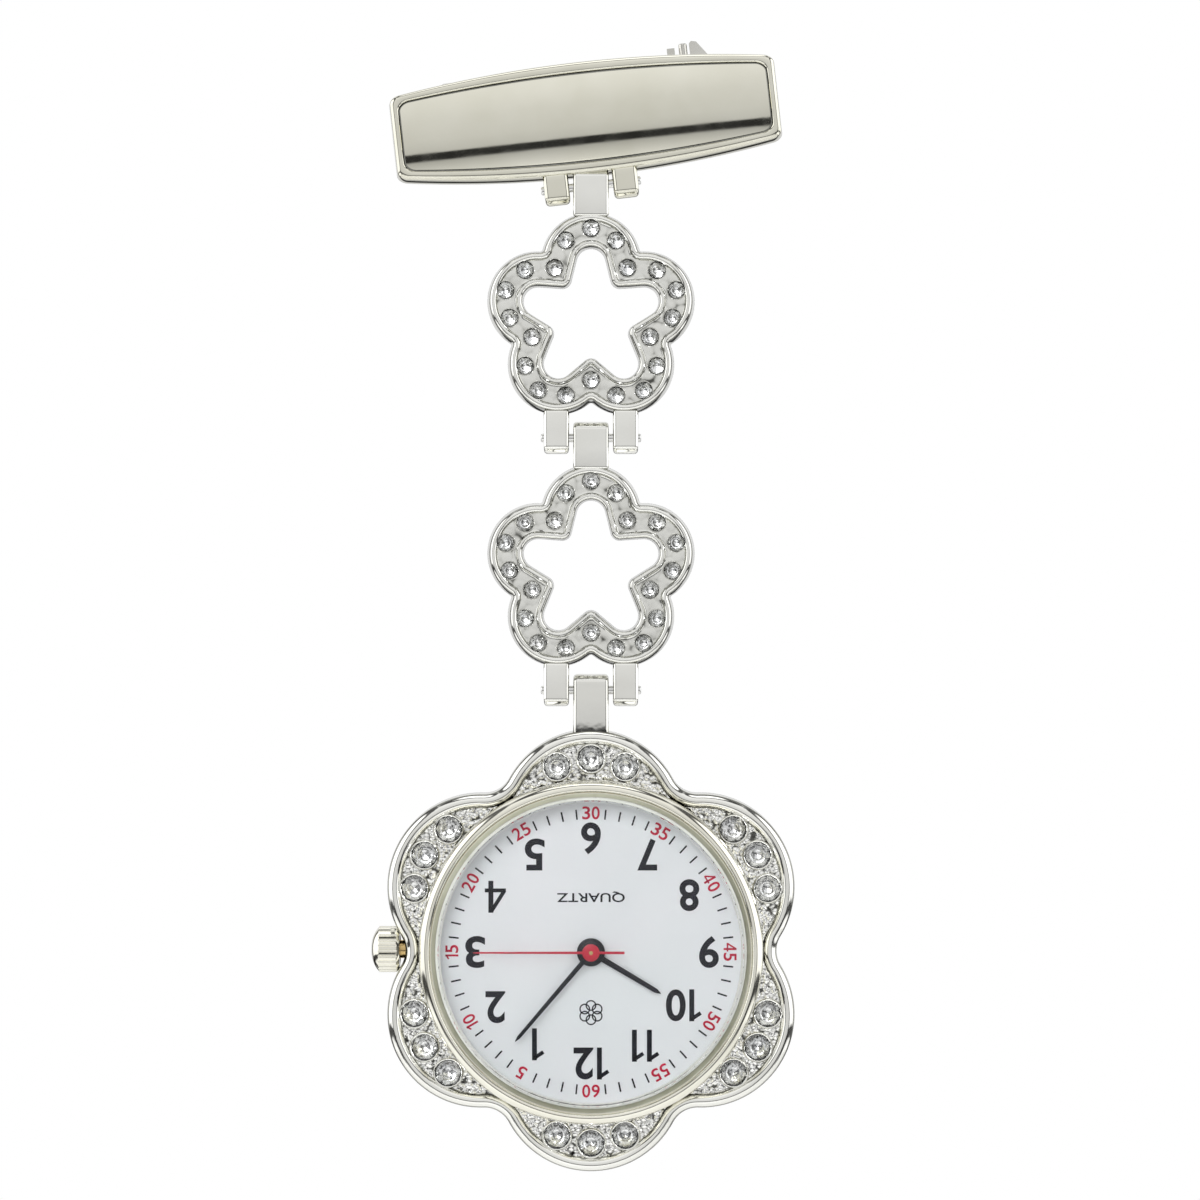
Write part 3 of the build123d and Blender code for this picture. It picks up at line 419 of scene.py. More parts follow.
def beaded_metal(name, light, dark, crevice_shade, bead, bead_reach, depth, smooth, rough):
    """Plated casting left unpolished: small beads, each darkening toward its edge, and near-black crevices between
    them, both painted shade.
    """
    material, tree, shader = start_material(name, Metallic=1.0)
    cells = add_node(tree, "TexVoronoi", Scale=1 / (bead * mm))
    cells.feature = "SMOOTH_F1"
    cells.inputs["Smoothness"].default_value = bead_softness
    fix_to_piece(tree, cells)
    # The darkening toward each bead's edge and the near-black crevices between beads are painted shade.
    shades = [
        (0.0, light), (bead_reach, light), (bead_reach + 0.2, dark), (bead_reach + 0.38, crevice_shade),
    ]
    colour = blend_by(tree, cells.outputs["Distance"], shades)
    tree.links.new(colour, shader.inputs["Base Color"])
    domes = blend_by(tree, cells.outputs["Distance"], [(0.0, (1, 1, 1)), (0.8, (0, 0, 0))])
    raise_by(tree, shader, domes, depth)
    wear(tree, shader, 1.0, smooth, rough)
    return material


bright_plating = plated_metal(
    "bright_plating", (0.93, 0.93, 0.89), (0.86, 0.855, 0.81), 0.05, 0.12, 1.6, 0.02
)
# The third colour of cast_plating is painted shade in the crevices between its beads.
cast_plating = beaded_metal(
    "cast_plating", (0.84, 0.84, 0.80), (0.70, 0.70, 0.66), (0.10, 0.10, 0.09), 0.8, 0.52, 0.03,
    0.10, 0.22,
)

link_petals = 5
link_petal_distance = 5.25
link_petal_radius = 4.7
link_notch_radius = 0.2
link_stone_radius = 0.82
link_stone_girdle = 0.83
link_cup_depth = 0.72
link_floor = 0.75
link_back = -1.15
link_steps = 600


def flower_radius(angle, petals, distance, petal_radius, notch_radius, inset):
    """Radius of a flower outline of round petals and round notches, drawn in by inset."""
    half = pi / petals
    aside = abs((angle + half) % (2 * half) - half)
    reach = petal_radius + notch_radius
    notch = distance * cos(half) + sqrt(reach**2 - (distance * sin(half)) ** 2)
    share = (petal_radius - inset) / reach
    touch = Vector((notch * sin(half) * share, distance + (notch * cos(half) - distance) * share))
    if aside <= atan2(touch.x, touch.y):
        across = distance * sin(aside)
        return distance * cos(aside) + sqrt((petal_radius - inset) ** 2 - across**2)
    across = notch * sin(half - aside)
    return notch * cos(half - aside) - sqrt(max(0, (notch_radius + inset) ** 2 - across**2))


star_corner_radius = 3.4
star_lobe_distance = 5.2
star_lobe_radius = 1.35
star_rounding = 0.9


def star_radius(angle, growth):
    """Radius of the star hole grown by growth: round lobes, straight sides, round nubs."""
    half = pi / link_petals
    aside = abs((angle + half) % (2 * half) - half)
    run = Vector((sin(half), cos(half))) * star_corner_radius - Vector((0, star_lobe_distance))
    lean = atan2(run.y, run.x) + acos(star_lobe_radius / run.length)
    normal = Vector((cos(lean), sin(lean)))
    lobe = star_lobe_radius + growth
    lobe_touch = Vector((0, star_lobe_distance)) + lobe * normal
    if aside <= atan2(lobe_touch.x, lobe_touch.y):
        across = star_lobe_distance * sin(aside)
        return star_lobe_distance * cos(aside) + sqrt(lobe**2 - across**2)
    towards = Vector((sin(half), cos(half)))
    line = star_lobe_radius + star_lobe_distance * normal.y
    nub = (line + star_rounding) / towards.dot(normal)
    nub_touch = nub * towards - (star_rounding - growth) * normal
    if aside <= atan2(nub_touch.x, nub_touch.y):
        return (line + growth) / (sin(aside) * normal.x + cos(aside) * normal.y)
    across = nub * sin(half - aside)
    return nub * cos(half - aside) - sqrt(max(0, (star_rounding - growth) ** 2 - across**2))


def link_outline(inset):
    """The link's outer outline drawn in by inset."""
    return lambda angle: flower_radius(
        angle, link_petals, link_petal_distance, link_petal_radius, link_notch_radius, inset
    )


def star_outline(growth):
    """The star hole's outline grown by growth."""
    return lambda angle: star_radius(angle, growth)


def between(outer, inner, share):
    """An outline part of the way from one outline to another."""
    return lambda angle: outer(angle) * (1 - share) + inner(angle) * share


def ring_on(outline, steps, level, lump=1.0, depth=0.0):
    """A ring of points on an outline at a level, lumpy as a cast floor is if depth is given."""
    ring = []
    for step in range(steps):
        angle = 2 * pi * step / steps
        radius = outline(angle)
        right, up = radius * sin(angle), radius * cos(angle)
        rise = depth * noise.noise(Vector((right / lump, up / lump, 0.3)))
        ring.append((right, level + rise, up))
    return ring


# Each profile point is (how far it is drawn in from the outline, its level).
link_outer_profile = (
    (0.38, -1.15), (0.11, -1.04), (0, -0.77), (0, -0.5), (0.22, 0.7), (0.28, 0.96), (0.35, 1.12),
    (0.45, 1.22), (0.60, 1.25), (0.75, 1.22), (0.84, 1.12), (0.89, 0.98), (0.93, 0.80), (0.98, 0.75),
)
link_inner_profile = (
    (0.76, 0.75), (0.70, 0.79), (0.66, 0.96), (0.61, 1.12), (0.53, 1.22), (0.40, 1.25), (0.28, 1.22),
    (0.20, 1.12), (0.15, 0.98), (0.12, 0.75), (0, -0.6), (0.05, -0.9), (0.25, -1.1), (0.38, -1.15),
)
floor_finish = 1
wall_painted_shade = 2
floor_slope = 0.6
wall_slope = 0.8


def finish_faces(bm, floor_levels, wall_levels):
    """Leave the floor between two levels unpolished and beaded, and give the steep walls beside it painted shade.
    """
    bm.normal_update()
    for face in bm.faces:
        forward = -face.calc_center_median().y
        if floor_levels[0] < forward < floor_levels[1] and face.normal.y < -floor_slope:
            face.material_index = floor_finish
        elif wall_levels[0] < forward < wall_levels[1] and abs(face.normal.y) < wall_slope:
            face.material_index = wall_painted_shade


channel_shares = (0.12, 0.25, 0.38, 0.5, 0.62, 0.75, 0.88)
back_shares = (0.75, 0.5, 0.25)


def bored(bm, cutter):
    """The mesh with the cutter's volume taken out of it."""
    shapes = []
    for solid in (bm, cutter):
        bmesh.ops.remove_doubles(solid, verts=solid.verts, dist=merge_distance)
        bmesh.ops.recalc_face_normals(solid, faces=solid.faces)
        mesh = bpy.data.meshes.new("boring")
        solid.to_mesh(mesh)
        solid.free()
        shapes.append(bpy.data.objects.new("boring", mesh))
        bpy.context.scene.collection.objects.link(shapes[-1])
    cut = shapes[0].modifiers.new("cups", "BOOLEAN")
    cut.object = shapes[1]
    cut.solver = "EXACT"
    result = bmesh.new()
    whole = shapes[0].evaluated_get(bpy.context.evaluated_depsgraph_get())
    result.from_mesh(whole.to_mesh())
    for shape in shapes:
        bpy.data.objects.remove(shape)
    return result


cup_steps = 40
plug_rise = 0.6


def stone_cups(places, radius, floor, depth):
    """Plugs that bore the stones' cups."""
    cutter = bmesh.new()
    facing = Matrix.Rotation(pi / 2, 4, "X")
    height = depth + plug_rise
    for right, up in places:
        bmesh.ops.create_cone(
            cutter, cap_ends=True, segments=cup_steps, radius1=radius, radius2=radius, depth=height,
            matrix=Matrix.Translation((right, -(floor - depth + height / 2), up)) @ facing,
        )
    return cutter


def turned(bm, profile, steps):
    """Turn a closed profile of (radius, forward) points once round the forward line."""
    verts = [bm.verts.new((radius, -forward, 0)) for radius, forward in profile]
    edges = [bm.edges.new(pair) for pair in zip(verts, verts[1:] + verts[:1])]
    bmesh.ops.spin(
        bm, geom=verts + edges, axis=(0, 1, 0), cent=(0, 0, 0), dvec=(0, 0, 0), angle=2 * pi,
        steps=steps, use_merge=True, use_duplicate=False,
    )


def ring_mesh(name, profile, steps=40):
    """A small turned ring kept as a mesh to be copied."""
    bm = bmesh.new()
    turned(bm, profile, steps)
    mesh = bpy.data.meshes.new(name)
    bm.to_mesh(mesh)
    bm.free()
    return mesh


link_seat = ring_mesh(
    "link_seat", ((0.82, -0.3), (0.82, 0.03), (0.85, 0.07), (0.88, 0.07), (0.92, 0.03), (0.95, -0.3))
)
link_rings = ((8.36, 0), (7.59, 18), (7.59, -18), (5.78, 36))
link_places = stone_places(link_petals, link_rings)
tongue_width = 3.3
tongue_hole = 0.6
link_tongue_root = 9.4
link_tongue_softness = 0.32
link_ear_drop = 11.15
link_ear_root = 8.5
link_ear_softness = 0.35

outer = [ring_on(link_outline(inset), link_steps, level) for inset, level in link_outer_profile]
inner = [ring_on(star_outline(growth), link_steps, level) for growth, level in link_inner_profile]
channel_edges = (link_outline(0.98), star_outline(0.76))
channel = [
    ring_on(between(*channel_edges, share), link_steps, link_floor, 1.3, 0.06)
    for share in channel_shares
]
back_edges = (link_outline(0.38), star_outline(0.38))
back = [ring_on(between(*back_edges, share), link_steps, link_back) for share in back_shares]

for name, above, below in (("upper_link", "top_hinge", "middle_hinge"),
                           ("lower_link", "middle_hinge", "bottom_hinge")):
    level = hinges[below]["pos_m"][2] / mm + link_ear_drop
    tongue_up = hinges[above]["pos_m"][2] / mm - level
    bm = bmesh.new()
    loft(bm, outer + channel + inner + back + outer[:1])
    bm = bored(bm, stone_cups(link_places, link_stone_radius, link_floor, link_cup_depth))
    # The channel floor gets beads with painted shade between them, and its steep walls get painted shade.
    finish_faces(bm, (-0.2, 0.83), (0.72, 1.14))
    for right, up in link_places:
        add_copy(bm, link_seat, Matrix.Translation((right, -link_floor, up)))
    hinge_eye(
        bm, (0, 0, tongue_up), tongue_width, link_tongue_root - tongue_up, tongue_hole,
        link_tongue_softness,
    )
    for side in (-1, 1):
        centre = (side * ear_middle, 0, -link_ear_drop)
        hinge_eye(
            bm, centre, ear_width, link_ear_drop - link_ear_root, hinge_pin_radius,
            link_ear_softness,
        )
    place = Matrix.Translation((0, -hinge_forward, level))
    make_piece(
        name + "_casting", bm, [bright_plating, cast_plating, shadow_plating], name,
        [name + "_frame"], place,
    )
    set_stones(
        name + "_brilliants", link_places, link_stone_radius, link_stone_girdle, level, name,
        name + "_stones",
    )

# ------------------------------------------------------------------------- flower case
# The case middle is one casting: six petals with a rolled rim and a floor left pebbled,
# a round drum behind, a collar for the bezel, and the tongue that hangs it. The floor has
# painted shade between its pebbles, and the steep walls beside it are painted shade.

dial_low, dial_high = (corner[2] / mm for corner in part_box("dial"))
watch_level = (dial_low + dial_high) / 2
watch_place = Matrix.Translation((0, -hinge_forward, watch_level))
case_petals = 6
case_petal_distance = 11.87
case_petal_radius = 8.7
case_notch_radius = 2.6
case_floor = 1.1
case_stone_radius = 1.24
case_stone_lift = 0.26
case_cup_depth = 1.0
case_tongue_root = 20.0
case_tongue_hole = 0.45
case_tongue_softness = 0.38
case_steps = 720


def case_outline(inset):
    """The case's outline drawn in by inset."""
    return lambda angle: flower_radius(
        angle, case_petals, case_petal_distance, case_petal_radius, case_notch_radius, inset
    )


def round_outline(radius):
    """A plain circle."""
    return lambda angle: radius


drum_rings = [(14.35, -2.9), (15.3, -2.9), (15.45, -2.84), (15.5, -2.7), (15.5, -1.9)]
plate_rings = [
    (0.6, -1.9), (0.3, -1.82), (0.08, -1.6), (0, -1.3), (0, 0.75), (0.06, 1.08), (0.19, 1.33),
    (0.38, 1.51), (0.62, 1.6), (0.86, 1.58), (1.06, 1.47), (1.22, 1.3), (1.31, 1.14),
]
collar_rings = [
    (15.0, 1.1), (14.9, 1.15), (14.9, 2.9), (14.8, 3.0), (13.9, 3.0), (13.9, 1.9), (14.35, 1.86),
]
floor_edges = (case_outline(1.36), round_outline(15.05))
floor_bands = 24
pebble_sink = 0.04
rings = [ring_on(round_outline(radius), case_steps, level) for radius, level in drum_rings]
rings += [ring_on(case_outline(inset), case_steps, level) for inset, level in plate_rings]
rings += [
    ring_on(between(*floor_edges, band / floor_bands), case_steps, case_floor - pebble_sink, 0.24, 0.1)
    for band in range(floor_bands + 1)
]
rings += [ring_on(round_outline(radius), case_steps, level) for radius, level in collar_rings]
bm = bmesh.new()
loft(bm, rings + rings[:1])
case_places = stone_places(case_petals, ((17.9, 0), (17.45, 10.5), (17.45, -10.5)))
bm = bored(bm, stone_cups(case_places, case_stone_radius, case_floor, case_cup_depth))
# The floor gets pebbles with painted shade between them, and its steep walls get painted shade.
finish_faces(bm, (-0.1, 1.19), (1.1, 1.32))
case_seat = ring_mesh(
    "case_seat",
    (
        (1.22, -0.3), (1.22, 0.26), (1.26, 0.32), (1.33, 0.34), (1.40, 0.28), (1.45, 0.1),
        (1.47, -0.3),
    ),
)
for right, up in case_places:
    add_copy(bm, case_seat, Matrix.Translation((right, -case_floor, up)))
case_tongue_up = hinges["bottom_hinge"]["pos_m"][2] / mm - watch_level
hinge_eye(
    bm, (0, 0, case_tongue_up), tongue_width, case_tongue_root - case_tongue_up, case_tongue_hole,
    case_tongue_softness,
)
# The third colour of pebbled_plating is painted shade in the crevices between its pebbles.
pebbled_plating = beaded_metal(
    "pebbled_plating", (0.97, 0.97, 0.95), (0.80, 0.80, 0.77), (0.12, 0.12, 0.11), 0.42, 0.42, 0.13,
    0.05, 0.14,
)
make_piece(
    "case_casting", bm, [bright_plating, pebbled_plating, shadow_plating], "watch",
    ["case_flower"], watch_place,
)
set_stones(
    "case_brilliants", case_places, case_stone_radius, case_floor + case_stone_lift, watch_level,
    "watch", "case_stones",
)

# --------------------------------------------------------------------- bezel and glass
# A polished ring is pressed over the collar. It holds a thick flat glass, which is bevelled
# round its edge, over the dial.

polished_plating = plated_metal(
    "polished_plating", (0.92, 0.905, 0.81), (0.85, 0.83, 0.73), 0.06, 0.13, 4.0, 0.01
)
round_steps = 256
bezel_profile = (
    (14.95, 1.2), (15.95, 1.2), (16.0, 1.26), (16.0, 2.2), (15.95, 2.75), (15.84, 3.12), (15.66, 3.40),
    (15.42, 3.57), (15.18, 3.61), (15.04, 3.57), (14.97, 3.47), (14.94, 3.32), (14.90, 3.30),
    (14.85, 3.37), (14.80, 3.37), (14.74, 3.28), (14.45, 3.1), (14.43, 3.03), (14.95, 3.03),
)
bm = bmesh.new()
turned(bm, bezel_profile, round_steps)
make_piece(
    "bezel", bm, [polished_plating], "watch", ["bezel_ring"], watch_place, 45
)

glass_profile = (
    (0, 3.03), (14.08, 3.03), (14.14, 3.09), (14.14, 3.92), (14.10, 4.02), (14.02, 4.07), (13.92, 4.09),
    (0, 4.09),
)
bm = bmesh.new()
turned(bm, glass_profile, round_steps)
watch_glass, tree, shader = start_material(
    "watch_glass", Transmission_Weight=1.0, IOR=1.33, Roughness=0.0
)
clear_tint = blend_by(tree, noise_over(tree, 9.0), [(0.3, (0.97, 0.985, 0.98)), (0.7, (1, 1, 1))])
tree.links.new(clear_tint, shader.inputs["Base Color"])
make_piece("glass", bm, [watch_glass], "watch", ["crystal"], watch_place, 15)

# ------------------------------------------------------------------------ dial printing
# The dial is a white lacquered plate. Its hours, minutes and ticks are pad printed in black
# and crimson ink, thick enough to stand just proud of the lacquer.


def paint(name, light, dark, patch, smooth, rough, grain, depth, **inputs):
    """A painted, moulded or rubber finish: drifting colour, drifting gloss and a fine grain."""
    material, tree, shader = start_material(name, **inputs)
    tint(tree, shader, patch, light, dark)
    wear(tree, shader, patch / 2, smooth, rough)
    raise_by(tree, shader, noise_over(tree, grain, 2.0), depth)
    return material


black_ink = paint(
    "black_ink", (0.005, 0.005, 0.014), (0.003, 0.003, 0.009), 2, 0.5, 0.6, 0.2, 0.003,
    Specular_IOR_Level=0.2,
)
crimson_ink = paint(
    "crimson_ink", (0.60, 0.012, 0.055), (0.50, 0.008, 0.04), 2, 0.5, 0.6, 0.2, 0.003,
    Specular_IOR_Level=0.2,
)
dial_front = 1.852
ink_height = 0.02
minute_figure_radius = 12.85


def dial_spot(turn, radius, upright=True):
    """A place on the dial, turned from the wearer's twelve, which hangs at the bottom."""
    spin = pi if upright else pi + turn
    spot = Matrix.Translation((-radius * sin(turn), -dial_front, -radius * cos(turn)))
    return spot @ Matrix.Rotation(spin, 4, "Y") @ Matrix.Rotation(pi / 2, 4, "X")


def add_print(bm, words, height, width, weight, matrix):
    """Print words of a given height and width, centred on a place."""
    curve = bpy.data.curves.new("print", "FONT")
    curve.body = words
    curve.offset = weight
    curve.resolution_u = 6
    carrier = bpy.data.objects.new("print", curve)
    bpy.context.scene.collection.objects.link(carrier)
    depsgraph = bpy.context.evaluated_depsgraph_get()
    flat = bpy.data.meshes.new_from_object(carrier.evaluated_get(depsgraph))
    bpy.data.objects.remove(carrier)
    lows = [min(vert.co[axis] for vert in flat.vertices) for axis in (0, 1)]
    highs = [max(vert.co[axis] for vert in flat.vertices) for axis in (0, 1)]
    across = width / (highs[0] - lows[0])
    upward = height / (highs[1] - lows[1])
    centred = Matrix.Translation((-(lows[0] + highs[0]) / 2, -(lows[1] + highs[1]) / 2, 0))
    letters = bmesh.new()
    letters.from_mesh(flat)
    bmesh.ops.transform(
        letters, matrix=matrix @ Matrix.Diagonal((across, upward, 1, 1)) @ centred,
        verts=letters.verts,
    )
    bmesh.ops.remove_doubles(letters, verts=letters.verts, dist=merge_distance)
    raised = bmesh.ops.extrude_face_region(letters, geom=letters.faces[:])["geom"]
    raised = [item for item in raised if isinstance(item, bmesh.types.BMVert)]
    bmesh.ops.translate(letters, vec=(0, -ink_height, 0), verts=raised)
    printed = bpy.data.meshes.new("printed")
    letters.to_mesh(printed)
    letters.free()
    bm.from_mesh(printed)


digit_stroke = 0.155
thin_stroke = 0.12
digit_gap = 0.11
digit_widths = {"1": 0.36, "4": 0.64}
usual_digit_width = 0.62


def add_strokes(bm, strokes, height, matrix):
    """Print straight strokes: each is (start, end, width) in parts of the figure's height."""
    for start, end, width in strokes:
        start, end = Vector(start) * height, Vector(end) * height
        run = end - start
        middle = (start + end) / 2
        stroke = matrix @ Matrix.Translation((middle.x, middle.y, ink_height / 2))
        stroke @= Matrix.Rotation(-atan2(run.x, run.y), 4, "Z")
        size = Matrix.Diagonal((width * height, run.length, ink_height, 1))
        bmesh.ops.create_cube(bm, size=1, matrix=stroke @ size)


straight_digits = {
    "1": (((0.1, -0.5), (0.1, 0.5), digit_stroke), ((-0.18, 0.24), (0.12, 0.44), thin_stroke)),
    "4": (
        ((0.14, -0.5), (0.14, 0.5), digit_stroke), ((-0.33, -0.2), (0.33, -0.2), thin_stroke),
        ((-0.29, -0.2), (0.12, 0.45), thin_stroke),
    ),
}


def add_number(bm, digits, height, weight, matrix):
    """Print a number, its figures side by side and centred on a place."""
    widths = [digit_widths.get(digit, usual_digit_width) for digit in digits]
    left = -(sum(widths) + digit_gap * (len(digits) - 1)) / 2
    for digit, width in zip(digits, widths):
        spot = matrix @ Matrix.Translation(((left + width / 2) * height, 0, 0))
        if digit in straight_digits:
            add_strokes(bm, straight_digits[digit], height, spot)
        else:
            add_print(bm, digit, height, width * height, weight, spot)
        left += width + digit_gap


hour_radii = {
    1: 9.85, 3: 10.7, 5: 10.4, 6: 10.5, 7: 10.4, 8: 10.5, 9: 10.9, 10: 9.85, 11: 10.0, 12: 10.3,
}
usual_hour_radius = 10.2
hour_height = 2.95
hour_weight = 0.022
minute_height = 1.2
minute_weight = 0.014
numerals = bmesh.new()
figures = bmesh.new()
for hour in range(1, 13):
    turn = 2 * pi * hour / 12
    hour_spot = dial_spot(turn, hour_radii.get(hour, usual_hour_radius))
    add_number(numerals, str(hour), hour_height, hour_weight, hour_spot)
    minute_spot = dial_spot(turn, minute_figure_radius, upright=False)
    add_number(figures, str(5 * hour), minute_height, minute_weight, minute_spot)
word_radius = 5.1
word_height = 1.0
word_width = 6.25
word_weight = 0.012
add_print(numerals, "QUARTZ", word_height, word_width, word_weight, dial_spot(pi, word_radius))
make_piece("dial_numerals", numerals, [black_ink], "watch", (), watch_place)
make_piece("dial_minute_figures", figures, [crimson_ink], "watch", (), watch_place)

tick_radius = 12.75
tick_size = Matrix.Diagonal((0.15, 0.92, ink_height, 1))
tick_rise = Matrix.Translation((0, 0, ink_height / 2))
bm = bmesh.new()
for minute in range(60):
    if minute % 5:
        spot = dial_spot(2 * pi * minute / 60, tick_radius, upright=False)
        bmesh.ops.create_cube(bm, size=1, matrix=spot @ tick_rise @ tick_size)
emblem_radius = 5.6
emblem_petals = 6
emblem_reach = 0.66
emblem_ring = ring_mesh(
    "emblem_ring", ((0.38, 0), (0.38, ink_height), (0.50, ink_height), (0.50, 0)), 32,
)
emblem_place = Vector((0, -dial_front, -emblem_radius))
for petal in range(emblem_petals):
    aside = 2 * pi * petal / emblem_petals
    spot = emblem_place + emblem_reach * Vector((sin(aside), 0, cos(aside)))
    add_copy(bm, emblem_ring, Matrix.Translation(spot))
make_piece("dial_ticks", bm, [black_ink], "watch", (), watch_place)

# ------------------------------------------------------------------------------- hands
# Stamped brass hands, lacquered black, and a red sweep hand with a short tail. Each has a
# round boss pressed on its arbor, and softened edges.


def dial_direction(node):
    """The way a hand points, read from where its solid lies about the dial's middle."""
    low, high = (Vector(corner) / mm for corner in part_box(node))
    reach = (low + high) / 2
    return atan2(-reach.x, -(reach.z - watch_level))


tip_length = 0.5
tip_width = 0.06
hand_softness = 0.3
boss_steps = 64


def add_hand(name, node, body, finish, level, thickness, length, widths, boss, tail=0.0):
    """A hand: a blade narrowing from its root width to its end width, and a domed boss."""
    bm = bmesh.new()
    turn = dial_direction(node)
    blade = bmesh.ops.create_grid(bm, x_segments=1, y_segments=3, size=0.5)["verts"]
    root_width, end_width = widths
    rows = (
        (-tail, root_width), (0, root_width), (length - tip_length, end_width), (length, tip_width),
    )
    levels = sorted({round(vert.co.y, 3) for vert in blade})
    for vert in blade:
        reach, width = rows[levels.index(round(vert.co.y, 3))]
        vert.co = (width * (1 if vert.co.x > 0 else -1) / 2, 0, reach)
    raised = bmesh.ops.extrude_face_region(bm, geom=bm.faces[:])["geom"]
    raised = [item for item in raised if isinstance(item, bmesh.types.BMVert)]
    bmesh.ops.translate(bm, vec=(0, -thickness, 0), verts=raised)
    sides = [edge for edge in bm.edges if len(edge.link_faces) == 2 and edge.calc_face_angle() > 0.5]
    bmesh.ops.bevel(
        bm, geom=sides, offset=thickness * hand_softness, affect="EDGES", segments=2, profile=0.5,
        material=-1,
    )
    dome = thickness + 0.05
    boss_profile = (
        (0, 0), (boss, 0), (boss, thickness * 0.7), (boss * 0.94, thickness), (boss * 0.5, dome),
        (0, dome),
    )
    turned(bm, boss_profile, boss_steps)
    spot = Matrix.Translation((0, -level, 0)) @ Matrix.Rotation(pi + turn, 4, "Y")
    make_piece(name, bm, [finish], body, [node], watch_place @ spot, 30)


hand_black = paint(
    "hand_black", (0.006, 0.006, 0.014), (0.003, 0.003, 0.009), 2, 0.3, 0.45, 0.4, 0.003,
    Specular_IOR_Level=0.3,
)
hand_red = paint("hand_red", (0.62, 0.012, 0.045), (0.54, 0.01, 0.035), 2, 0.3, 0.45, 0.4, 0.003)
add_hand(
    "hour_pointer", "hour_hand", "hours", hand_black, 2.08, 0.15, 7.5,
    (0.56, 0.42), 1.3,
)
add_hand(
    "minute_pointer", "minute_hand", "minutes", hand_black, 2.38, 0.13, 10.8,
    (0.46, 0.32), 1.0,
)
add_hand(
    "sweep_pointer", "second_hand", "seconds", hand_red, 2.66, 0.08, 10.9, (0.24, 0.16),
    0.8, 3.1,
)

# -------------------------------------------------------------- dial, back and the rest
# The parts that keep their machined shapes: the dial plate, the pin finding, the hinge
# pins, the crown, the back and the movement. They are stamped, turned or moulded, in steel,
# brass, copper, plastic and rubber.


def working_metal(name, light, dark, smooth, rough, ripple=0.8, depth=0.01):
    """Bare or plated metal of a working part."""
    return plated_metal(name, light, dark, smooth, rough, ripple, depth)


finishes = {
    "polished_plating": polished_plating,
    "soft_steel": working_metal(
        "soft_steel", (0.72, 0.71, 0.67), (0.60, 0.59, 0.54), 0.18, 0.3
    ),
    "needle_steel": working_metal(
        "needle_steel", (0.78, 0.78, 0.77), (0.7, 0.7, 0.69), 0.08, 0.15
    ),
    "back_steel": working_metal(
        "back_steel", (0.78, 0.78, 0.77), (0.7, 0.7, 0.7), 0.16, 0.26, 4.0, 0.01
    ),
    "cut_stone": stone_glass,
    "watch_glass": watch_glass,
    "clear_gasket": paint(
        "clear_gasket", (0.75, 0.77, 0.72), (0.62, 0.64, 0.58), 3, 0.25, 0.4, 0.5, 0.005
    ),
    "black_gasket": paint(
        "black_gasket", (0.02, 0.02, 0.022), (0.012, 0.012, 0.013), 2, 0.5, 0.65, 0.3, 0.01
    ),
    "white_dial": paint(
        "white_dial", (0.90, 0.92, 0.95), (0.88, 0.90, 0.93), 8, 0.3, 0.42, 0.5, 0.002
    ),
    "black_hand": paint(
        "black_hand", (0.007, 0.007, 0.014), (0.004, 0.004, 0.009), 2, 0.22, 0.34, 0.4, 0.003
    ),
    "red_hand": paint(
        "red_hand", (0.60, 0.015, 0.05), (0.52, 0.01, 0.04), 2, 0.25, 0.36, 0.4, 0.003
    ),
    "brass_work": working_metal(
        "brass_work", (0.72, 0.53, 0.25), (0.62, 0.44, 0.19), 0.18, 0.32
    ),
    "white_plastic": paint(
        "white_plastic", (0.74, 0.74, 0.72), (0.68, 0.68, 0.66), 3, 0.35, 0.5, 0.4, 0.01
    ),
    "magnet": working_metal("magnet", (0.34, 0.34, 0.35), (0.26, 0.26, 0.27), 0.3, 0.45),
    "copper_wire": working_metal(
        "copper_wire", (0.76, 0.36, 0.19), (0.66, 0.28, 0.13), 0.25, 0.4, 0.12, 0.03
    ),
    "circuit_green": paint(
        "circuit_green", (0.02, 0.20, 0.08), (0.01, 0.15, 0.05), 2, 0.3, 0.45, 0.3, 0.01
    ),
}
slot_of = {part["node"]: part["material_slot"] for part in frame["record"]["subparts"]}
for node, solid in frame["nodes"].items():
    solid.data.materials.clear()
    solid.data.materials.append(finishes[slot_of[node]])

# ------------------------------------------------------------------------------ studio
# A pale floor well below the hanging watch, soft light from a broad wrap-round sky with a
# few narrow dark screens in it, and a long lens level with the middle of the chain.

floor_level = -0.32
floor_radius = 0.45
bm = bmesh.new()
bmesh.ops.create_circle(
    bm, cap_ends=True, segments=96, radius=floor_radius,
    matrix=Matrix.Translation((0, 0, floor_level)),
)
floor_mesh = bpy.data.meshes.new("studio_floor")
bm.to_mesh(floor_mesh)
bm.free()
studio_floor = bpy.data.objects.new("studio_floor", floor_mesh)
bpy.context.scene.collection.objects.link(studio_floor)
floor_mesh.materials.append(
    paint("pale_floor", (0.86, 0.86, 0.85), (0.82, 0.82, 0.81), 60, 0.6, 0.75, 5, 0.05)
)

world = bpy.data.worlds.new("studio")
bpy.context.scene.world = world
world.use_nodes = True
tree = world.node_tree
tree.nodes.clear()
direction = tree.nodes.new("ShaderNodeTexCoord")
parts = tree.nodes.new("ShaderNodeSeparateXYZ")
tree.links.new(direction.outputs["Generated"], parts.inputs["Vector"])
height = add_node(tree, "MapRange", From_Min=-1.0, From_Max=1.0)
tree.links.new(parts.outputs["Z"], height.inputs["Value"])
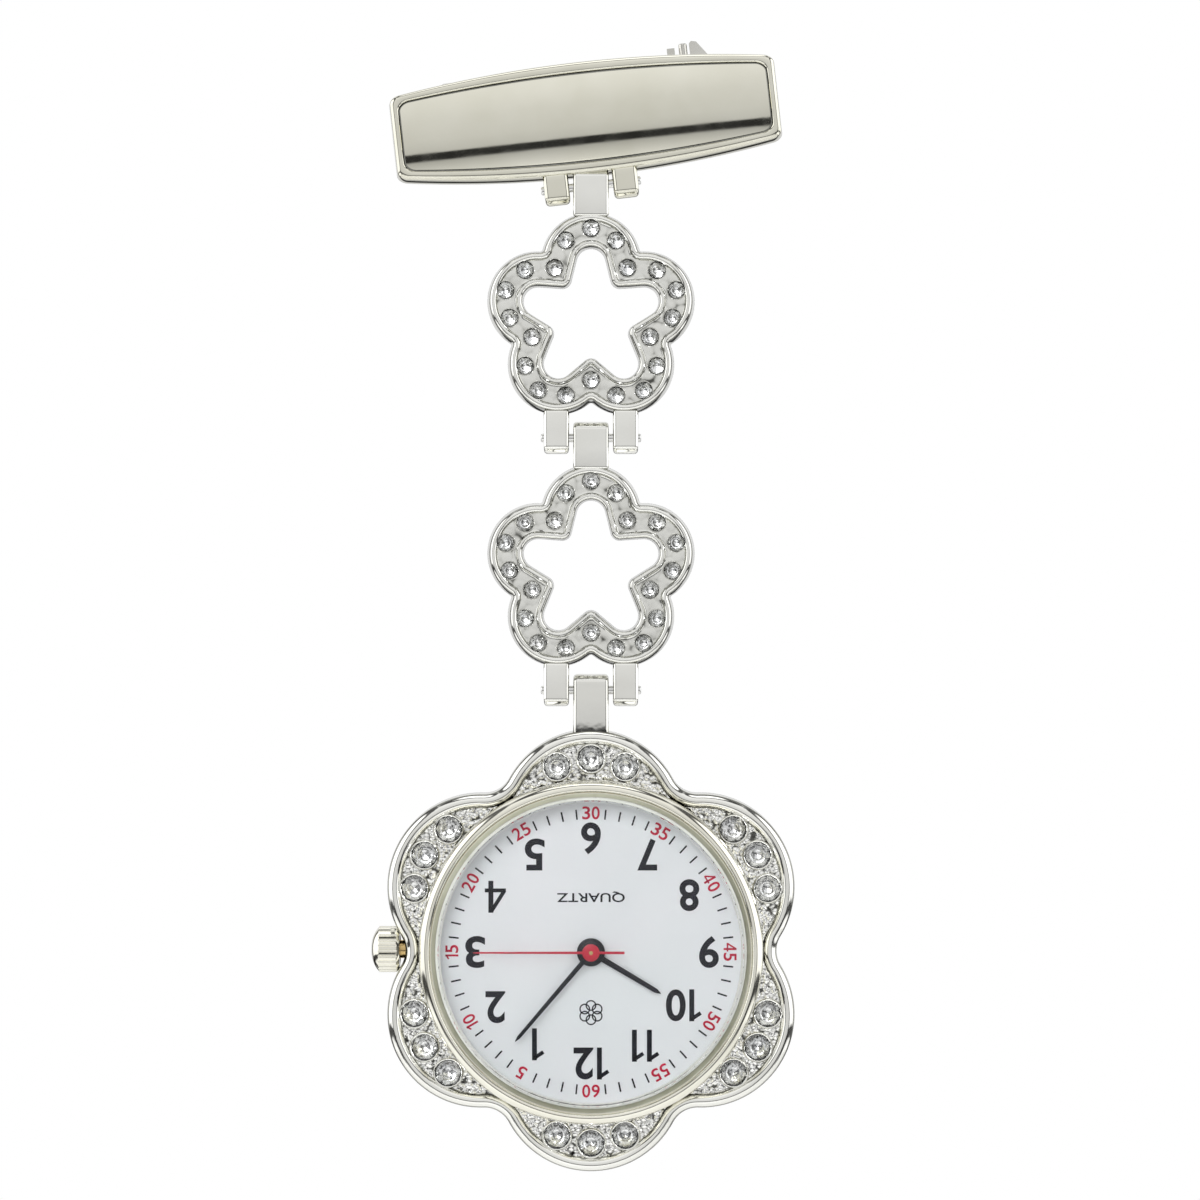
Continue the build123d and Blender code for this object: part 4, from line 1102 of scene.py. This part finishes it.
# Each step of the sky is (how high, from -1 to 1, and how bright), and the sides' likewise.
sky_steps = (
    (-1, 1.3), (-0.62, 0.95), (-0.36, 0.5), (-0.33, 0.03), (-0.22, 0.03), (-0.20, 0.64), (0, 0.74),
    (0.35, 0.82), (0.75, 0.98), (0.84, 1.0), (0.87, 0.08), (0.93, 0.08), (0.96, 1.6), (1, 1.6),
)
sky = blend_by(
    tree, height.outputs["Result"], [((z + 1) / 2, (value, value, value)) for z, value in sky_steps]
)
aside = tree.nodes.new("ShaderNodeMath")
aside.operation = "ABSOLUTE"
tree.links.new(parts.outputs["X"], aside.inputs[0])
side_steps = ((0, 0.5), (0.5, 0.5), (0.54, 0.05), (0.64, 0.05), (0.69, 0.85), (1, 0.95))
side = blend_by(tree, aside.outputs["Value"], [(x, (value, value, value)) for x, value in side_steps])
screens = tree.nodes.new("ShaderNodeMix")
screens.data_type = "RGBA"
screens.blend_type = "MULTIPLY"
screens.inputs["Factor"].default_value = 1.0
tree.links.new(sky, screens.inputs["A"])
tree.links.new(side, screens.inputs["B"])
soft_box = add_node(tree, "Background", Strength=2.0)
tree.links.new(screens.outputs["Result"], soft_box.inputs["Color"])
backdrop = add_node(tree, "Background", Color=(1, 1, 1, 1), Strength=1.0)
seen = tree.nodes.new("ShaderNodeLightPath")
choice = tree.nodes.new("ShaderNodeMixShader")
tree.links.new(seen.outputs["Is Camera Ray"], choice.inputs["Fac"])
tree.links.new(soft_box.outputs["Background"], choice.inputs[1])
tree.links.new(backdrop.outputs["Background"], choice.inputs[2])
world_out = tree.nodes.new("ShaderNodeOutputWorld")
tree.links.new(choice.outputs["Shader"], world_out.inputs["Surface"])

key = bpy.data.lights.new("key_light", "AREA")
key.shape = "RECTANGLE"
key.size = 0.5
key.size_y = 0.5
key.energy = 4.0
key_target = Vector((0, 0, -0.05))
key_light = bpy.data.objects.new("key_light", key)
bpy.context.scene.collection.objects.link(key_light)
key_light.location = (-0.25, -0.6, 0.35)
key_aim = key_target - key_light.location
key_light.rotation_euler = key_aim.to_track_quat("-Z", "Y").to_euler()
key_light.visible_glossy = False

camera_distance = 0.33
view_width = 0.1121
view_middle = (0.00084, -0.0484)
lens = bpy.data.cameras.new("camera")
lens.sensor_width = 36
lens.lens = lens.sensor_width * camera_distance / view_width
lens.clip_start = 0.01
camera = bpy.data.objects.new("camera", lens)
bpy.context.scene.collection.objects.link(camera)
camera.location = (view_middle[0], -hinge_forward * mm - camera_distance, view_middle[1])
camera.rotation_euler = (pi / 2, 0, 0)
bpy.context.scene.camera = camera
bpy.context.scene.view_settings.view_transform = "Standard"
